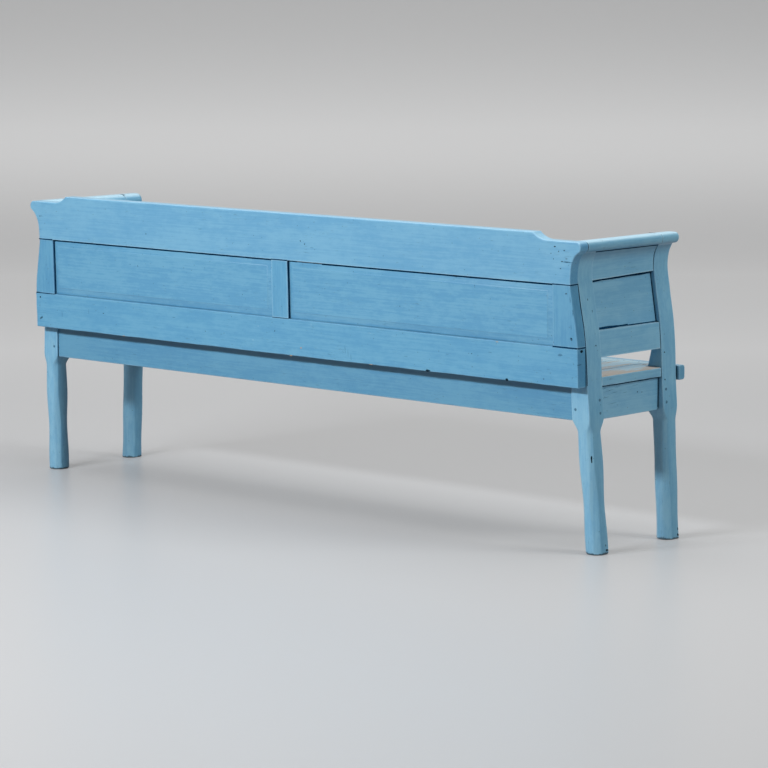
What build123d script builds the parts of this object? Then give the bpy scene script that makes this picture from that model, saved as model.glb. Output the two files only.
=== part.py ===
from build123d import *
import math
import os

# A painted pine bench whose seat pulls forward into a bed.
# Millimetres, +Z up, +X along the bench, the sitter faces -Y.
# The origin is on the floor, under the middle of the bounding box.
# Right-hand (+X) end pieces are modelled, left-hand ones are their mirror images.

# ---- heights above the floor ----
SEAT_TOP = 433.0
SLAT_T = 23.0                   # thickness of the fixed slats
SLIDE_GAP = 0.4                 # play of the sliding frame over and under fixed wood
APRON_BOTTOM = 327.0
RAIL_BOTTOM = 413.0             # back frame: lower rail
RAIL_TOP = 508.5
CREST_BOTTOM = 661.5
EAR_TOP = 766.0
CREST_TOP = 783.5
ARM_SEAT = 739.5                # underside of the arm rolls
ROLL_TOP = 766.5
ARM_RAIL_BOTTOM = 666.0         # arm frame: top rail, at the back
ARM_RAIL_RISE = 6.0             # its lower edge climbs this much towards the front
HAND_RAIL_BOTTOM = 480.5        # arm frame: lower rail, over the open gap
HAND_RAIL_TOP = 545.5

# ---- depths, front to back ----
SEAT_DEPTH = 410.0              # front rail's face to the back frame's rear face
RAKE = 1.36                     # the back leans this many degrees
FRAME_T = 31.0                  # back frame
POST_D = 57.0
POST_SPREAD = 350.5             # back posts' rear face to front posts' front face
HEAD_PROUD = 1.0                # carved heads of the front posts, past their front faces
HEAD_BEHIND = 11.5              # and past their rear faces
NOSE_GAP = 4.5                  # front rail to front posts
APRON_T = 24.0
APRON_INSET = 8.0               # back apron behind the legs' rear face
STOP_GAP = 3.0                  # left between stretcher and bearer, fully pulled out

# ---- widths along the bench ----
RAIL_HALF = 977.0               # half the back frame's lower rail
STILE_INNER = 900.0
MUNTIN_X = 19.0                 # the muntin stands a little off centre
MUNTIN_W = 58.0
CREST_STEP = 842.0              # the raised middle of the crest ends here
EAR_START = 887.0
POST_INNER = 931.5              # posts' inner faces below the seat
NOSE_HALF = 987.0
END_EDGE = 979.0                # outer edge of the outermost slats
END_SLAT_W = 85.0
END_APRON_OUTER = 970.5
ROLL_INNER, ROLL_OUTER = 938.0, 989.0
RUNNER_X = (893.0, 918.0)
SLIDING_SLATS = 10
SLAT_GAP = 2.2

# ---- sections ----
MEMBER_T = 24.0                 # end rails
TENON_T = 9.0
TENON_L = 28.0
RAIL_TENON_L = 20.0             # long rails into the posts
TENON_MARGIN = 10.0             # shoulder above and below a tenon
TENON_ROOT = 12.0               # how far a tenon runs back into its own rail
ARM_TENON_X, ARM_TENON_TOP = 938.5, 718.0
HAND_TENON_X = 959.0
UPRIGHT_TENON_L = 25.0          # stiles and muntin into the back frame's rails
GROOVE_D = 8.0
PANEL_T = 8.0                   # tongue of a back panel
PANEL_SINK = 8.5                # tongue below the frame's rear face
FIELD_SINK = 3.5                # raised field below the frame's rear face
PANEL_PLAY = 0.5                # round the raised part of a panel
BEVEL_W = 18.0
ARM_PANEL_T = 10.0
ARM_PANEL_FOOT, ARM_PANEL_HEAD = 962.0, 941.5
ROLL_OUTER_R = 12.5             # rounding of an arm roll, outside above and below
ROLL_INNER_R = 21.0             # inside, above
ROLL_EASE_R = 5.0               # inside, below
TIP_R = 8.0                     # rounding of a roll's front end
TIP_INNER_R = 18.0              # of its inner corner, from above
BEARER_H = 44.0
STRETCHER_HALF = 922.0
STRETCHER_W = 25.0
STRETCHER_H = 22.0
NOSE_H = 37.0
NOSE_R = 7.0                    # rounding of the front rail's edges
APRON_EASE_R = 7.0
LEG_W = 34.0                    # folding legs
LEG_PIVOT_X = 850.0
LEG_RISE = 2.5                  # stored leg above the apron's lower edge
LEG_PLAY = 0.5                  # beside a folding leg
LEG_STOP_W = 22.0
FOOT_CLEAR = 1.0                # standing leg above the floor
BOLT_R = 4.0
BORE_PLAY = 0.08
BOLT_HEAD = (18.0, 3.0)         # square head: side and thickness
BOLT_NUT = (16.0, 6.0)          # square nut
NUT_GAP = 0.4
BOLT_TIP = 8.0                  # rod past the leg

# ---- pegs and nails ----
PEG_R = 3.8                     # whittled pegs of eight sides
PEG_PROUD = 0.3
SIDE_PEG_L, HAND_PEG_L, REAR_PEG_L = 35.0, 28.0, 32.0
BACK_PEG_Y, FRONT_PEG_Y = 12.0, 14.0    # in from the faces where rails meet the posts
APRON_PEGS_Z = (346, 378)
HAND_PEG_Z = 512
REAR_PEG_XZ = (943.0, 355.0)    # back apron to back post
BEARER_PEG_XZ = (941.0, 392.0)  # bearer to front post
NAIL_W = 5.0                    # cut nails, square all the way
NAIL_L = 40.0
NAIL_INSET = 22.0               # from a slat's edge
BACK_NAIL_L = 55.0
BACK_NAILS = [(945, 725), (944, 640), (958, 530), (963, 472), (960, 437)]

# ---- fixed legs below the aprons ----
SHOULDER_TOP = 335.0            # square above, eased into an octagon below
SHOULDER_BOTTOM = 297.0
SHOULDER_OUT, SHOULDER_IN = 988.0, 941.5
FOOT_OUT, FOOT_IN = 1003.0, 953.5
SHOULDER_DEPTH, BACK_FOOT_DEPTH, FRONT_FOOT_DEPTH = 50.5, 53.0, 57.0
ARRIS = 0.3                     # chamfer where the square part starts
SHOULDER_CHAMFER, FOOT_CHAMFER = 11.0, 16.0
TONGUE_STEPS = 5
BACK_FOOT_STEP = 9.0            # the feet stand this far ahead of the shoulders
FRONT_FOOT_STEP = 5.0

# ---- sawn outlines, as (x, z) from the top down ----
POST_OUTER = [(973, 748), (957, 717), (953, 693), (960, 627), (973.5, 545), (979, 480), (981.5, 410),
              (986.5, SHOULDER_TOP)]
POST_INNER_EDGE = [(944, 748), (926, 717), (920, 693), (927.5, 625), (941, 545), (947, 482), (937, 437),
                   (POST_INNER, 411)]
EAR_NOSE = 753.5                # the ear of the crest is widest here
CREST_END = [(ROLL_OUTER, EAR_NOSE), (985.5, 742.5), (977.5, 737), (962.5, 716), (957, 693),
             (955.4, CREST_BOTTOM)]

# ---- worked out ----
LEAN = (CREST_TOP - SEAT_TOP) * math.sin(math.radians(RAKE))
BACK = (SEAT_DEPTH - LEAN) / 2
POST_REAR = BACK - FRAME_T
BACK_POST_FRONT = POST_REAR - POST_D
FRONT_POST_FRONT = POST_REAR - POST_SPREAD
FRONT_POST_REAR = FRONT_POST_FRONT + POST_D
NOSE_REAR = FRONT_POST_FRONT - NOSE_GAP
NOSE_FRONT = BACK - SEAT_DEPTH
SUPPORT_TOP = SEAT_TOP - SLAT_T
SLIDE_BOTTOM = SUPPORT_TOP + SLIDE_GAP
PASS_TOP = SUPPORT_TOP - 2 * SLIDE_GAP
APRON_REAR = POST_REAR - APRON_INSET
APRON_FRONT = APRON_REAR - APRON_T
STRETCHER_REAR = APRON_FRONT - 3.0
STRETCHER_FRONT = STRETCHER_REAR - STRETCHER_W
SHELF_REAR = FRONT_POST_REAR - 5.5
SHELF_FRONT = SHELF_REAR - MEMBER_T
FRONT_APRON_REAR = NOSE_REAR + APRON_T
TRAVEL = STRETCHER_FRONT - SHELF_REAR - STOP_GAP
SLAT_SPAN = 2 * (END_EDGE - END_SLAT_W)
SLATS_BETWEEN = 2 * SLIDING_SLATS - 1
SLAT_W = (SLAT_SPAN - (SLATS_BETWEEN + 1) * SLAT_GAP) / SLATS_BETWEEN
LEG_PIVOT_Z = APRON_BOTTOM + LEG_RISE + LEG_W / 2
LEG_FRONT = FRONT_APRON_REAR + LEG_PLAY
HEAD_FRONT = FRONT_POST_FRONT - HEAD_PROUD
HEAD_REAR = FRONT_POST_REAR + HEAD_BEHIND
FAR = 1100.0                    # clear of the whole bench
BELOW = -50.0                   # below the floor


def block(x, y, z):
    """A box between two x, two y and two z values, given in either order."""
    size = [abs(b - a) for a, b in (x, y, z)]
    middle = [(a + b) / 2 for a, b in (x, y, z)]
    return Pos(*middle) * Box(*size)


def raked(shape):
    """The shape leant back, turned about a line along the bench at the seat's level."""
    return shape.rotate(Axis((0, BACK, SEAT_TOP), (1, 0, 0)), -RAKE)


def mirrored(shape):
    """The left-hand twin of a right-hand piece."""
    return mirror(shape, about=Plane.YZ)


def biarc(start, end, start_way, end_way):
    """Two arcs that meet smoothly between two points and leave them in the given directions.

    The joint lies at (start + end + d (start_way - end_way)) / 2, with d the reach at which both
    arcs have tangents of the same length: 2 (1 - c) d^2 + 2 (v . t) d = v . v.
    """
    v, t = end - start, start_way + end_way
    k = 2 * (1 - start_way.dot(end_way))
    reach = (math.sqrt(v.dot(t) ** 2 + k * v.dot(v) * 2) - v.dot(t)) / k
    joint = (start + end + (start_way - end_way) * reach) / 2
    first = TangentArc(start, joint, tangent=start_way)
    return [first, TangentArc(joint, end, tangent=first % 1)]


def curve(points, shift=0.0, start_way=None):
    """A smooth curve of arcs in the XZ plane through (x, z) points from the top down, moved along X."""
    knots = [Vector(x + shift, 0, z) for x, z in points]
    ways = [start_way or knots[1] - knots[0]]
    ways += [after - before for before, after in zip(knots, knots[2:])]
    ways = [way.normalized() for way in ways] + [Vector(0, 0, -1)]
    arcs = []
    for i in range(len(knots) - 1):
        arcs += biarc(knots[i], knots[i + 1], ways[i], ways[i + 1])
    return arcs


def slab(edges, y0, y1):
    """A closed outline in the XZ plane, extruded from y0 to y1."""
    face = make_face(edges)
    return Pos(0, min(y0, y1), 0) * extrude(face, abs(y1 - y0), dir=(0, 1, 0))


def sawn(y0, y1, outer_inset=0.0, inner_inset=0.0):
    """The double-curved section of an end, between shoulder and arm, from y0 to y1."""
    outer = curve(POST_OUTER, -outer_inset)
    inner = curve(POST_INNER_EDGE, inner_inset)
    top = Line(outer[0] @ 0, inner[0] @ 0)
    side = Line(inner[-1] @ 1, (POST_INNER + inner_inset, 0, SHOULDER_TOP))
    foot = Line(outer[-1] @ 1, side @ 1)
    return slab(outer + inner + [foot, side, top], y0, y1)


# ---- posts and arm rolls ----

def leg_section(z, front):
    """One level of a leg: a square eased into an octagon, wider again at the foot."""
    if z > SHOULDER_BOTTOM:
        part = (SHOULDER_TOP - z) / (SHOULDER_TOP - SHOULDER_BOTTOM)
        ease = part * part * (3 - 2 * part)
        outer = POST_OUTER[-1][0] + (SHOULDER_OUT - POST_OUTER[-1][0]) * ease
        inner = POST_INNER + (SHOULDER_IN - POST_INNER) * ease
        depth = POST_D + (SHOULDER_DEPTH - POST_D) * ease
        cut = ARRIS + (SHOULDER_CHAMFER - ARRIS) * ease
        step = 0.0
    else:
        part = (SHOULDER_BOTTOM - z) / SHOULDER_BOTTOM
        outer = SHOULDER_OUT + (FOOT_OUT - SHOULDER_OUT) * part
        inner = SHOULDER_IN + (FOOT_IN - SHOULDER_IN) * part
        depth = SHOULDER_DEPTH + ((FRONT_FOOT_DEPTH if front else BACK_FOOT_DEPTH) - SHOULDER_DEPTH) * part
        cut = SHOULDER_CHAMFER + (FOOT_CHAMFER - SHOULDER_CHAMFER) * part
        step = part * (FRONT_FOOT_STEP if front else BACK_FOOT_STEP)
    ahead = (FRONT_POST_FRONT if front else POST_REAR - depth) - step
    rear = ahead + depth
    corners = [(inner + cut, ahead), (outer - cut, ahead), (outer, ahead + cut), (outer, rear - cut),
               (outer - cut, rear), (inner + cut, rear), (inner, rear - cut), (inner, ahead + cut)]
    return make_face(Polyline(*[(x, y, z) for x, y in corners], close=True))


def sawn_leg(front):
    """A sawn post: chamfered leg with lamb's tongue stops, square knee, double-curved arm."""
    drop = (SHOULDER_TOP - SHOULDER_BOTTOM) / TONGUE_STEPS
    levels = [SHOULDER_TOP - drop * step for step in range(TONGUE_STEPS + 1)] + [BELOW]
    leg = loft([leg_section(z, front) for z in levels], ruled=True)
    rear = FRONT_POST_REAR if front else POST_REAR
    return sawn(rear, rear - POST_D) + leg


def back_post():
    return raked(sawn_leg(False)) & block((0, FAR), (-FAR, FAR), (0, ARM_SEAT))


def roll(front, rear):
    """A length of arm roll: nearly half round outside, more gently rounded inside."""
    body = block((ROLL_INNER, ROLL_OUTER), (front, rear), (ARM_SEAT, ROLL_TOP))
    body = fillet(body.edges().filter_by(Axis.Y).group_by(Axis.X)[-1], ROLL_OUTER_R)
    body = fillet(body.edges().filter_by(Axis.Y).group_by(Axis.X)[0].sort_by(Axis.Z)[-1], ROLL_INNER_R)
    return fillet(body.edges().filter_by(Axis.Y).group_by(Axis.X)[0].sort_by(Axis.Z)[0], ROLL_EASE_R)


def tip():
    """The space a roll's front end keeps to: rounded as seen from the side, and from above."""
    space = block((ROLL_INNER, ROLL_OUTER), (HEAD_FRONT, HEAD_REAR), (ARM_SEAT, ROLL_TOP))
    from_side = fillet(space.edges().filter_by(Axis.X).group_by(Axis.Y)[0], TIP_R)
    corners = space.edges().filter_by(Axis.Z).group_by(Axis.Y)[0].sort_by(Axis.X)
    from_above = fillet(corners[0], TIP_INNER_R)
    outer = from_above.edges().filter_by(Axis.Z).group_by(Axis.Y)[0].sort_by(Axis.X)[-1]
    return from_side & fillet(outer, TIP_R)


def front_post():
    """A front post, its head carved as the end of the arm roll."""
    stem = sawn_leg(True) & block((0, FAR), (-FAR, FAR), (0, ARM_SEAT))
    return stem + (roll(HEAD_FRONT, HEAD_REAR) & tip())


# ---- arm frames ----

def behind_post():
    """Everything behind the leaning front face of a back post."""
    return raked(block((0, FAR), (BACK_POST_FRONT, FAR), (BELOW, FAR)))


def ahead_of_frame():
    """Everything in front of the plane of the back posts' rear faces."""
    return raked(block((-FAR, FAR), (POST_REAR, -FAR), (BELOW, FAR)))


def tenons(x, z):
    """Tenons of an end rail, into the back post and into the front post."""
    thick = (x - TENON_T / 2, x + TENON_T / 2)
    rear = block(thick, (BACK_POST_FRONT - TENON_ROOT, BACK_POST_FRONT + TENON_L), z)
    front = block(thick, (FRONT_POST_REAR + TENON_ROOT, FRONT_POST_REAR - TENON_L), z)
    return rear, front


def end_rail(z, outer_inset, inner_inset, tenon_x, tenon_top):
    """A rail of an arm frame: it follows the sawn curve, set in a little, and is tenoned."""
    body = sawn(FRONT_POST_REAR, POST_REAR, outer_inset, inner_inset)
    body = body & block((0, FAR), (-FAR, FAR), z)
    body = body - behind_post()
    rear, front = tenons(tenon_x, (z[0] + TENON_MARGIN, tenon_top))
    return body + rear + front


def arm_rail():
    """Top rail of an arm frame, its lower edge climbing to the front."""
    rail = end_rail((ARM_RAIL_BOTTOM, ARM_SEAT), 2.0, 5.0, ARM_TENON_X, ARM_TENON_TOP)
    wedge = Polyline((0, BACK_POST_FRONT, ARM_RAIL_BOTTOM), (0, FRONT_POST_REAR, ARM_RAIL_BOTTOM),
                     (0, FRONT_POST_REAR, ARM_RAIL_BOTTOM + ARM_RAIL_RISE), close=True)
    return rail - extrude(make_face(wedge), FAR, dir=(1, 0, 0))


def hand_rail():
    """Lower rail of an arm frame, over the open gap above the seat."""
    return end_rail((HAND_RAIL_BOTTOM, HAND_RAIL_TOP), 2.5, 6.0, HAND_TENON_X, HAND_RAIL_TOP - TENON_MARGIN)


def arm_panel():
    """Flat panel of an arm frame, leaning with the curve and held in grooves all round."""
    low = Vector(ARM_PANEL_FOOT, 0, HAND_RAIL_TOP)
    high = Vector(ARM_PANEL_HEAD, 0, ARM_RAIL_BOTTOM + ARM_RAIL_RISE)
    along = (high - low).normalized()
    inward = Vector(-along.Z, 0, along.X)
    start = low - along * GROOVE_D
    end = high + along * GROOVE_D
    corners = [start, end, end + inward * ARM_PANEL_T, start + inward * ARM_PANEL_T]
    outline = Polyline(*[(c.X, 0, c.Z) for c in corners], close=True)
    return slab([outline], FRONT_POST_REAR - GROOVE_D, BACK_POST_FRONT + GROOVE_D)


def arm_roll():
    """Rounded arm top, from the crest over the back post to the front post's head."""
    return roll(HEAD_REAR, BACK) & ahead_of_frame()


def end_apron():
    """Apron between a back and a front leg, its lower front corner eased."""
    width = (END_APRON_OUTER - MEMBER_T, END_APRON_OUTER)
    body = block(width, (FRONT_POST_REAR, POST_REAR), (APRON_BOTTOM, SUPPORT_TOP))
    corner = body.edges().filter_by(Axis.X).group_by(Axis.Z)[0].sort_by(Axis.Y)[0]
    body = fillet(corner, APRON_EASE_R)
    body = body - behind_post()
    middle = END_APRON_OUTER - MEMBER_T / 2
    rear, front = tenons(middle, (APRON_BOTTOM + TENON_MARGIN, SUPPORT_TOP - TENON_MARGIN))
    return body + rear + front


# ---- rails along the bench ----

def long_rail(y, z):
    """A rail between two posts, with a tenon at each end."""
    body = block((-POST_INNER, POST_INNER), y, z)
    middle = (y[0] + y[1]) / 2
    reach = POST_INNER + RAIL_TENON_L
    thick = (middle - TENON_T / 2, middle + TENON_T / 2)
    return body + block((-reach, reach), thick, (z[0] + TENON_MARGIN, z[1] - TENON_MARGIN))


def back_apron():
    return long_rail((APRON_REAR, APRON_FRONT), (APRON_BOTTOM, SUPPORT_TOP))


def front_bearer():
    """Fixed rail behind the pull-out front: it carries the slats and stops the stretcher."""
    return long_rail((SHELF_REAR, SHELF_FRONT), (SUPPORT_TOP - BEARER_H, SUPPORT_TOP))


def runner():
    """Batten from back apron to bearer, under the end of the stretcher."""
    top = PASS_TOP - STRETCHER_H - SLIDE_GAP
    return block(RUNNER_X, (APRON_FRONT, SHELF_REAR), (SUPPORT_TOP - BEARER_H, top))


# ---- back frame, modelled upright and then leant ----

def crest():
    """Top rail: ears shaped like the ends of the arm rolls, raised middle, hollow waist."""
    waist = curve(CREST_END, 0.0, Vector(0, 0, -1))
    nose_r = EAR_TOP - EAR_NOSE
    nose = TangentArc(waist[0] @ 0, (ROLL_OUTER - nose_r, 0, EAR_TOP), tangent=(0, 0, 1))
    ear = Line(nose @ 1, (EAR_START, 0, EAR_TOP))
    step = TangentArc(ear @ 1, (CREST_STEP, 0, CREST_TOP), tangent=(-1, 0, 0))
    top = Line(step @ 1, (0, 0, CREST_TOP))
    middle = Line(top @ 1, (0, 0, CREST_BOTTOM))
    bottom = Line(middle @ 1, waist[-1] @ 1)
    half = slab(waist + [nose, ear, step, top, middle, bottom], BACK, POST_REAR)
    return half + mirrored(half)


def bottom_rail():
    return block((-RAIL_HALF, RAIL_HALF), (BACK, POST_REAR), (RAIL_BOTTOM, RAIL_TOP))


def upright_tenon(x0, x1):
    """Tenon of an upright of the back frame through its height, in the plane of the panel grooves."""
    y = BACK - PANEL_SINK
    z = (RAIL_TOP - UPRIGHT_TENON_L, CREST_BOTTOM + UPRIGHT_TENON_L)
    return block((x0 + TENON_MARGIN, x1 - TENON_MARGIN), (y, y - PANEL_T), z)


def stile():
    """End upright of the back frame, its outer edge following the sawn curve."""
    outer = curve(POST_OUTER)
    edge = Line((STILE_INNER, 0, POST_OUTER[-1][1]), (STILE_INNER, 0, POST_OUTER[0][1]))
    top = Line(outer[0] @ 0, edge @ 1)
    foot = Line(outer[-1] @ 1, edge @ 0)
    body = slab(outer + [foot, edge, top], BACK, POST_REAR)
    body = body & block((STILE_INNER, FAR), (-FAR, FAR), (RAIL_TOP, CREST_BOTTOM))
    return body + upright_tenon(STILE_INNER, POST_OUTER[2][0])


def muntin():
    x0, x1 = MUNTIN_X - MUNTIN_W / 2, MUNTIN_X + MUNTIN_W / 2
    body = block((x0, x1), (BACK, POST_REAR), (RAIL_TOP, CREST_BOTTOM))
    return body + upright_tenon(x0, x1)


def back_panel(x0, x1):
    """Panel flat in front and fielded behind: a raised field with bevels down to its tongue."""
    tongue = block((x0 - GROOVE_D, x1 + GROOVE_D), (BACK - PANEL_SINK, BACK - PANEL_SINK - PANEL_T),
                   (RAIL_TOP - GROOVE_D, CREST_BOTTOM + GROOVE_D))
    low = Pos((x0 + x1) / 2, BACK - PANEL_SINK, (RAIL_TOP + CREST_BOTTOM) / 2) * Rot(-90, 0, 0)
    wide, tall = x1 - x0 - 2 * PANEL_PLAY, CREST_BOTTOM - RAIL_TOP - 2 * PANEL_PLAY
    base = low * Rectangle(wide, tall)
    crown = Pos(0, PANEL_SINK - FIELD_SINK, 0) * low * Rectangle(wide - 2 * BEVEL_W, tall - 2 * BEVEL_W)
    return tongue + loft([base, crown], ruled=True)


# ---- slats ----

def slat_x(place):
    """Edges of the slat at a place from 1, left, to the number between the outermost two."""
    start = -SLAT_SPAN / 2 + SLAT_GAP + (place - 1) * (SLAT_W + SLAT_GAP)
    return start, start + SLAT_W


def sliding_slat(place):
    return block(slat_x(place), (APRON_REAR + 1, NOSE_REAR), (SLIDE_BOTTOM, SEAT_TOP))


def fixed_slat(place):
    return block(slat_x(place), (APRON_REAR + 1, NOSE_REAR + 3), (SUPPORT_TOP, SEAT_TOP))


def end_slat():
    """Outermost fixed slat, on the end apron, notched round both posts."""
    slat = block((END_EDGE - END_SLAT_W, END_EDGE), (APRON_REAR + 1, NOSE_REAR + 3), (SUPPORT_TOP, SEAT_TOP))
    side = (POST_INNER - 1.5, FAR)
    slat = slat - block(side, (BACK_POST_FRONT - 2.0, FAR), (0, FAR))
    return slat - block(side, (FRONT_POST_REAR + 1.5, -FAR), (0, FAR))


# ---- the pull-out front ----

def toothed(half, y, bottom):
    """A rail with teeth on its top edge under the sliding slats, clear of the fixed slats."""
    body = block((-half, half), y, (bottom, PASS_TOP))
    for place in range(1, SLATS_BETWEEN + 1, 2):
        body = body + block(slat_x(place), y, (PASS_TOP - 1, SLIDE_BOTTOM))
    return body


def front_rail():
    """Rounded front rail that runs in front of the posts, nailed to the sliding slats' ends."""
    rail = block((-NOSE_HALF, NOSE_HALF), (NOSE_REAR, NOSE_FRONT), (SEAT_TOP - NOSE_H, SEAT_TOP))
    front = rail.faces().sort_by(Axis.Y)[0]
    return fillet(front.edges(), NOSE_R)


def front_apron():
    return toothed(POST_INNER - 2.5, (FRONT_APRON_REAR, NOSE_REAR), APRON_BOTTOM)


def stretcher():
    """Rear rail of the sliding frame: under the fixed slats it keeps the tail from rising."""
    return toothed(STRETCHER_HALF, (STRETCHER_REAR, STRETCHER_FRONT), PASS_TOP - STRETCHER_H)


def rod_y(radius, y0, y1):
    """A round along Y on the axis of the right-hand folding leg."""
    return Pos(LEG_PIVOT_X, (y0 + y1) / 2, LEG_PIVOT_Z) * Rot(90, 0, 0) * Cylinder(radius, abs(y1 - y0))


def fold_leg():
    """Folding leg, stored along the bench behind the apron, turning on a bolt near its end."""
    rear = LEG_FRONT + LEG_W
    foot_x = LEG_PIVOT_X - (LEG_PIVOT_Z - FOOT_CLEAR)
    height = (LEG_PIVOT_Z - LEG_W / 2, LEG_PIVOT_Z + LEG_W / 2)
    shank = block((foot_x, LEG_PIVOT_X), (LEG_FRONT, rear), height)
    head = rod_y(LEG_W / 2, LEG_FRONT, rear)
    return shank + head - rod_y(BOLT_R + BORE_PLAY, LEG_FRONT - 1, rear + 1)


def square_plate(side, y0, y1):
    """A square of iron on the axis of the right-hand folding leg, between two depths."""
    x = (LEG_PIVOT_X - side / 2, LEG_PIVOT_X + side / 2)
    return block(x, (y0, y1), (LEG_PIVOT_Z - side / 2, LEG_PIVOT_Z + side / 2))


def leg_bolt():
    """Forged bolt of a folding leg: square head on the apron's face, square nut behind the leg."""
    leg_rear = LEG_FRONT + LEG_W
    rod = rod_y(BOLT_R, NOSE_REAR, leg_rear + BOLT_TIP)
    head = square_plate(BOLT_HEAD[0], NOSE_REAR, NOSE_REAR - BOLT_HEAD[1])
    nut_front = leg_rear + NUT_GAP
    return rod + head + square_plate(BOLT_NUT[0], nut_front, nut_front + BOLT_NUT[1])


def leg_stop():
    """Block on the apron that the folding leg comes up against when it stands."""
    x = LEG_PIVOT_X + LEG_W / 2 + LEG_PLAY
    height = (LEG_PIVOT_Z - LEG_W / 2, LEG_PIVOT_Z + LEG_W / 2)
    return block((x, x + LEG_STOP_W), (FRONT_APRON_REAR, FRONT_APRON_REAR + LEG_W), height)


# ---- pegs and nails ----

def post_face(z):
    """How far out the outer face of a post is at a height, to lay a peg's end flush with it."""
    for (x1, z1), (x0, z0) in zip(POST_OUTER, POST_OUTER[1:]):
        if z0 <= z <= z1:
            return x0 + (x1 - x0) * (z - z0) / (z1 - z0)


def peg(length):
    """A whittled peg standing on the XY plane."""
    return extrude(RegularPolygon(PEG_R, 8), length)


def side_peg(y, z, root):
    """A peg driven inwards from the outer face of a right-hand post to a depth root."""
    end = post_face(z) + PEG_PROUD
    return Pos(end - root, y, z) * Rot(0, 90, 0) * peg(root)


def end_pegs():
    """Pegs of the right-hand end: end apron and hand rail, back apron and bearer."""
    depths = (BACK_POST_FRONT + BACK_PEG_Y, FRONT_POST_REAR - FRONT_PEG_Y)
    sides = [side_peg(y, z, SIDE_PEG_L) for y in depths for z in APRON_PEGS_Z]
    sides += [side_peg(y, HAND_PEG_Z, HAND_PEG_L) for y in depths]
    rear = raked(Pos(REAR_PEG_XZ[0], POST_REAR + PEG_PROUD, REAR_PEG_XZ[1]) * Rot(90, 0, 0) * peg(REAR_PEG_L))
    root = SHELF_REAR - MEMBER_T / 4
    through = peg(root - FRONT_POST_FRONT + PEG_PROUD)
    return sides + [rear, Pos(BEARER_PEG_XZ[0], root, BEARER_PEG_XZ[1]) * Rot(90, 0, 0) * through]


def nail(length):
    """A cut nail pointing down, its end in the XY plane."""
    return Pos(0, 0, -length / 2) * Box(NAIL_W, NAIL_W, length)


def slat_nails(x0, x1, rear, front):
    """Two nails in each end of a slat, at the depths of the rails that carry it."""
    across = (x0 + NAIL_INSET, x1 - NAIL_INSET)
    return [Pos(x, y, SEAT_TOP) * nail(NAIL_L) for x in across for y in (rear, front)]


def back_nails():
    """Nails that hold the right-hand end of the back frame to its post."""
    return [raked(Pos(x, BACK, z) * Rot(-90, 0, 0) * nail(BACK_NAIL_L)) for x, z in BACK_NAILS]


def group(shapes):
    """Separate solids kept together in one node."""
    return Compound([shape.solid() for shape in shapes])


# ---- putting it together ----

nodes = {}


def pair(name, right):
    """Both twins of an end piece."""
    nodes["right_" + name] = right
    nodes["left_" + name] = mirrored(right)


bearer, rear_apron = front_bearer(), back_apron()
panel, upper, lower, apron = arm_panel(), arm_rail(), hand_rail(), end_apron()
pegs, frame_nails = end_pegs(), back_nails()
pair("front_post", front_post() - upper - lower - apron - panel - bearer - pegs)
pair("back_post", back_post() - upper - lower - apron - panel - rear_apron - pegs - frame_nails)
pair("arm_roll", arm_roll())
pair("arm_rail", upper - panel)
pair("hand_rail", lower - panel - pegs)
pair("arm_panel", panel)
pair("end_apron", apron - pegs)
pair("runner", runner())

# slats, and the nails in them
fixed_nails, sliding_nails = [], []
for place in range(1, SLATS_BETWEEN + 1):
    number = (place + 1) // 2
    x0, x1 = slat_x(place)
    if place % 2:
        own = slat_nails(x0, x1, STRETCHER_REAR - STRETCHER_W / 2, NOSE_REAR + APRON_T / 2)
        nodes["sliding_slat_%02d" % number] = sliding_slat(place) - own
        sliding_nails += own
    else:
        own = slat_nails(x0, x1, APRON_REAR - APRON_T / 2, SHELF_REAR - MEMBER_T / 2)
        nodes["fixed_slat_%02d" % number] = fixed_slat(place) - own
        fixed_nails += own
own = slat_nails(END_EDGE - END_SLAT_W, POST_INNER, APRON_REAR - APRON_T / 2, SHELF_REAR - MEMBER_T / 2)
pair("end_slat", end_slat() - own)
fixed_nails += own + [mirrored(shape) for shape in own]

twin_pegs = pegs + [mirrored(shape) for shape in pegs]
nodes["back_apron"] = rear_apron - twin_pegs - fixed_nails
nodes["front_bearer"] = bearer - twin_pegs - fixed_nails

# back frame
centre_post, side_post = muntin(), stile()
split = (MUNTIN_X - MUNTIN_W / 2, MUNTIN_X + MUNTIN_W / 2)
left_field, right_field = back_panel(-STILE_INNER, split[0]), back_panel(split[1], STILE_INNER)
twin_frame_nails = frame_nails + [mirrored(shape) for shape in frame_nails]
for name, rail in (("crest_rail", crest()), ("bottom_rail", bottom_rail())):
    rail = rail - [centre_post, side_post, mirrored(side_post), left_field, right_field]
    nodes[name] = raked(rail) - twin_frame_nails
nodes["right_stile"] = raked(side_post - right_field) - frame_nails
nodes["left_stile"] = raked(mirrored(side_post) - left_field) - twin_frame_nails
nodes["muntin"] = raked(centre_post - left_field - right_field)
nodes["left_back_panel"] = raked(left_field)
nodes["right_back_panel"] = raked(right_field)

# the pull-out front
bolts = leg_bolt()
nodes["front_rail"] = front_rail()
nodes["front_apron"] = front_apron() - bolts - mirrored(bolts) - sliding_nails
nodes["stretcher"] = stretcher() - sliding_nails
pair("fold_leg", fold_leg())
pair("leg_bolt", bolts)
pair("leg_stop", leg_stop())

# fasteners
nodes["joint_pegs"] = group(twin_pegs)
nodes["frame_nails"] = group(twin_frame_nails)
nodes["fixed_slat_nails"] = group(fixed_nails)
nodes["sliding_slat_nails"] = group(sliding_nails)

os.makedirs("parts", exist_ok=True)
for name, shape in nodes.items():
    export_step(shape, "parts/" + name + ".step")
print("nodes", len(nodes), "travel", round(TRAVEL, 1), "slat width", round(SLAT_W, 2))
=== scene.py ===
import math

import bmesh
import bpy
import numpy as np
from mathutils import Matrix, Vector


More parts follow.
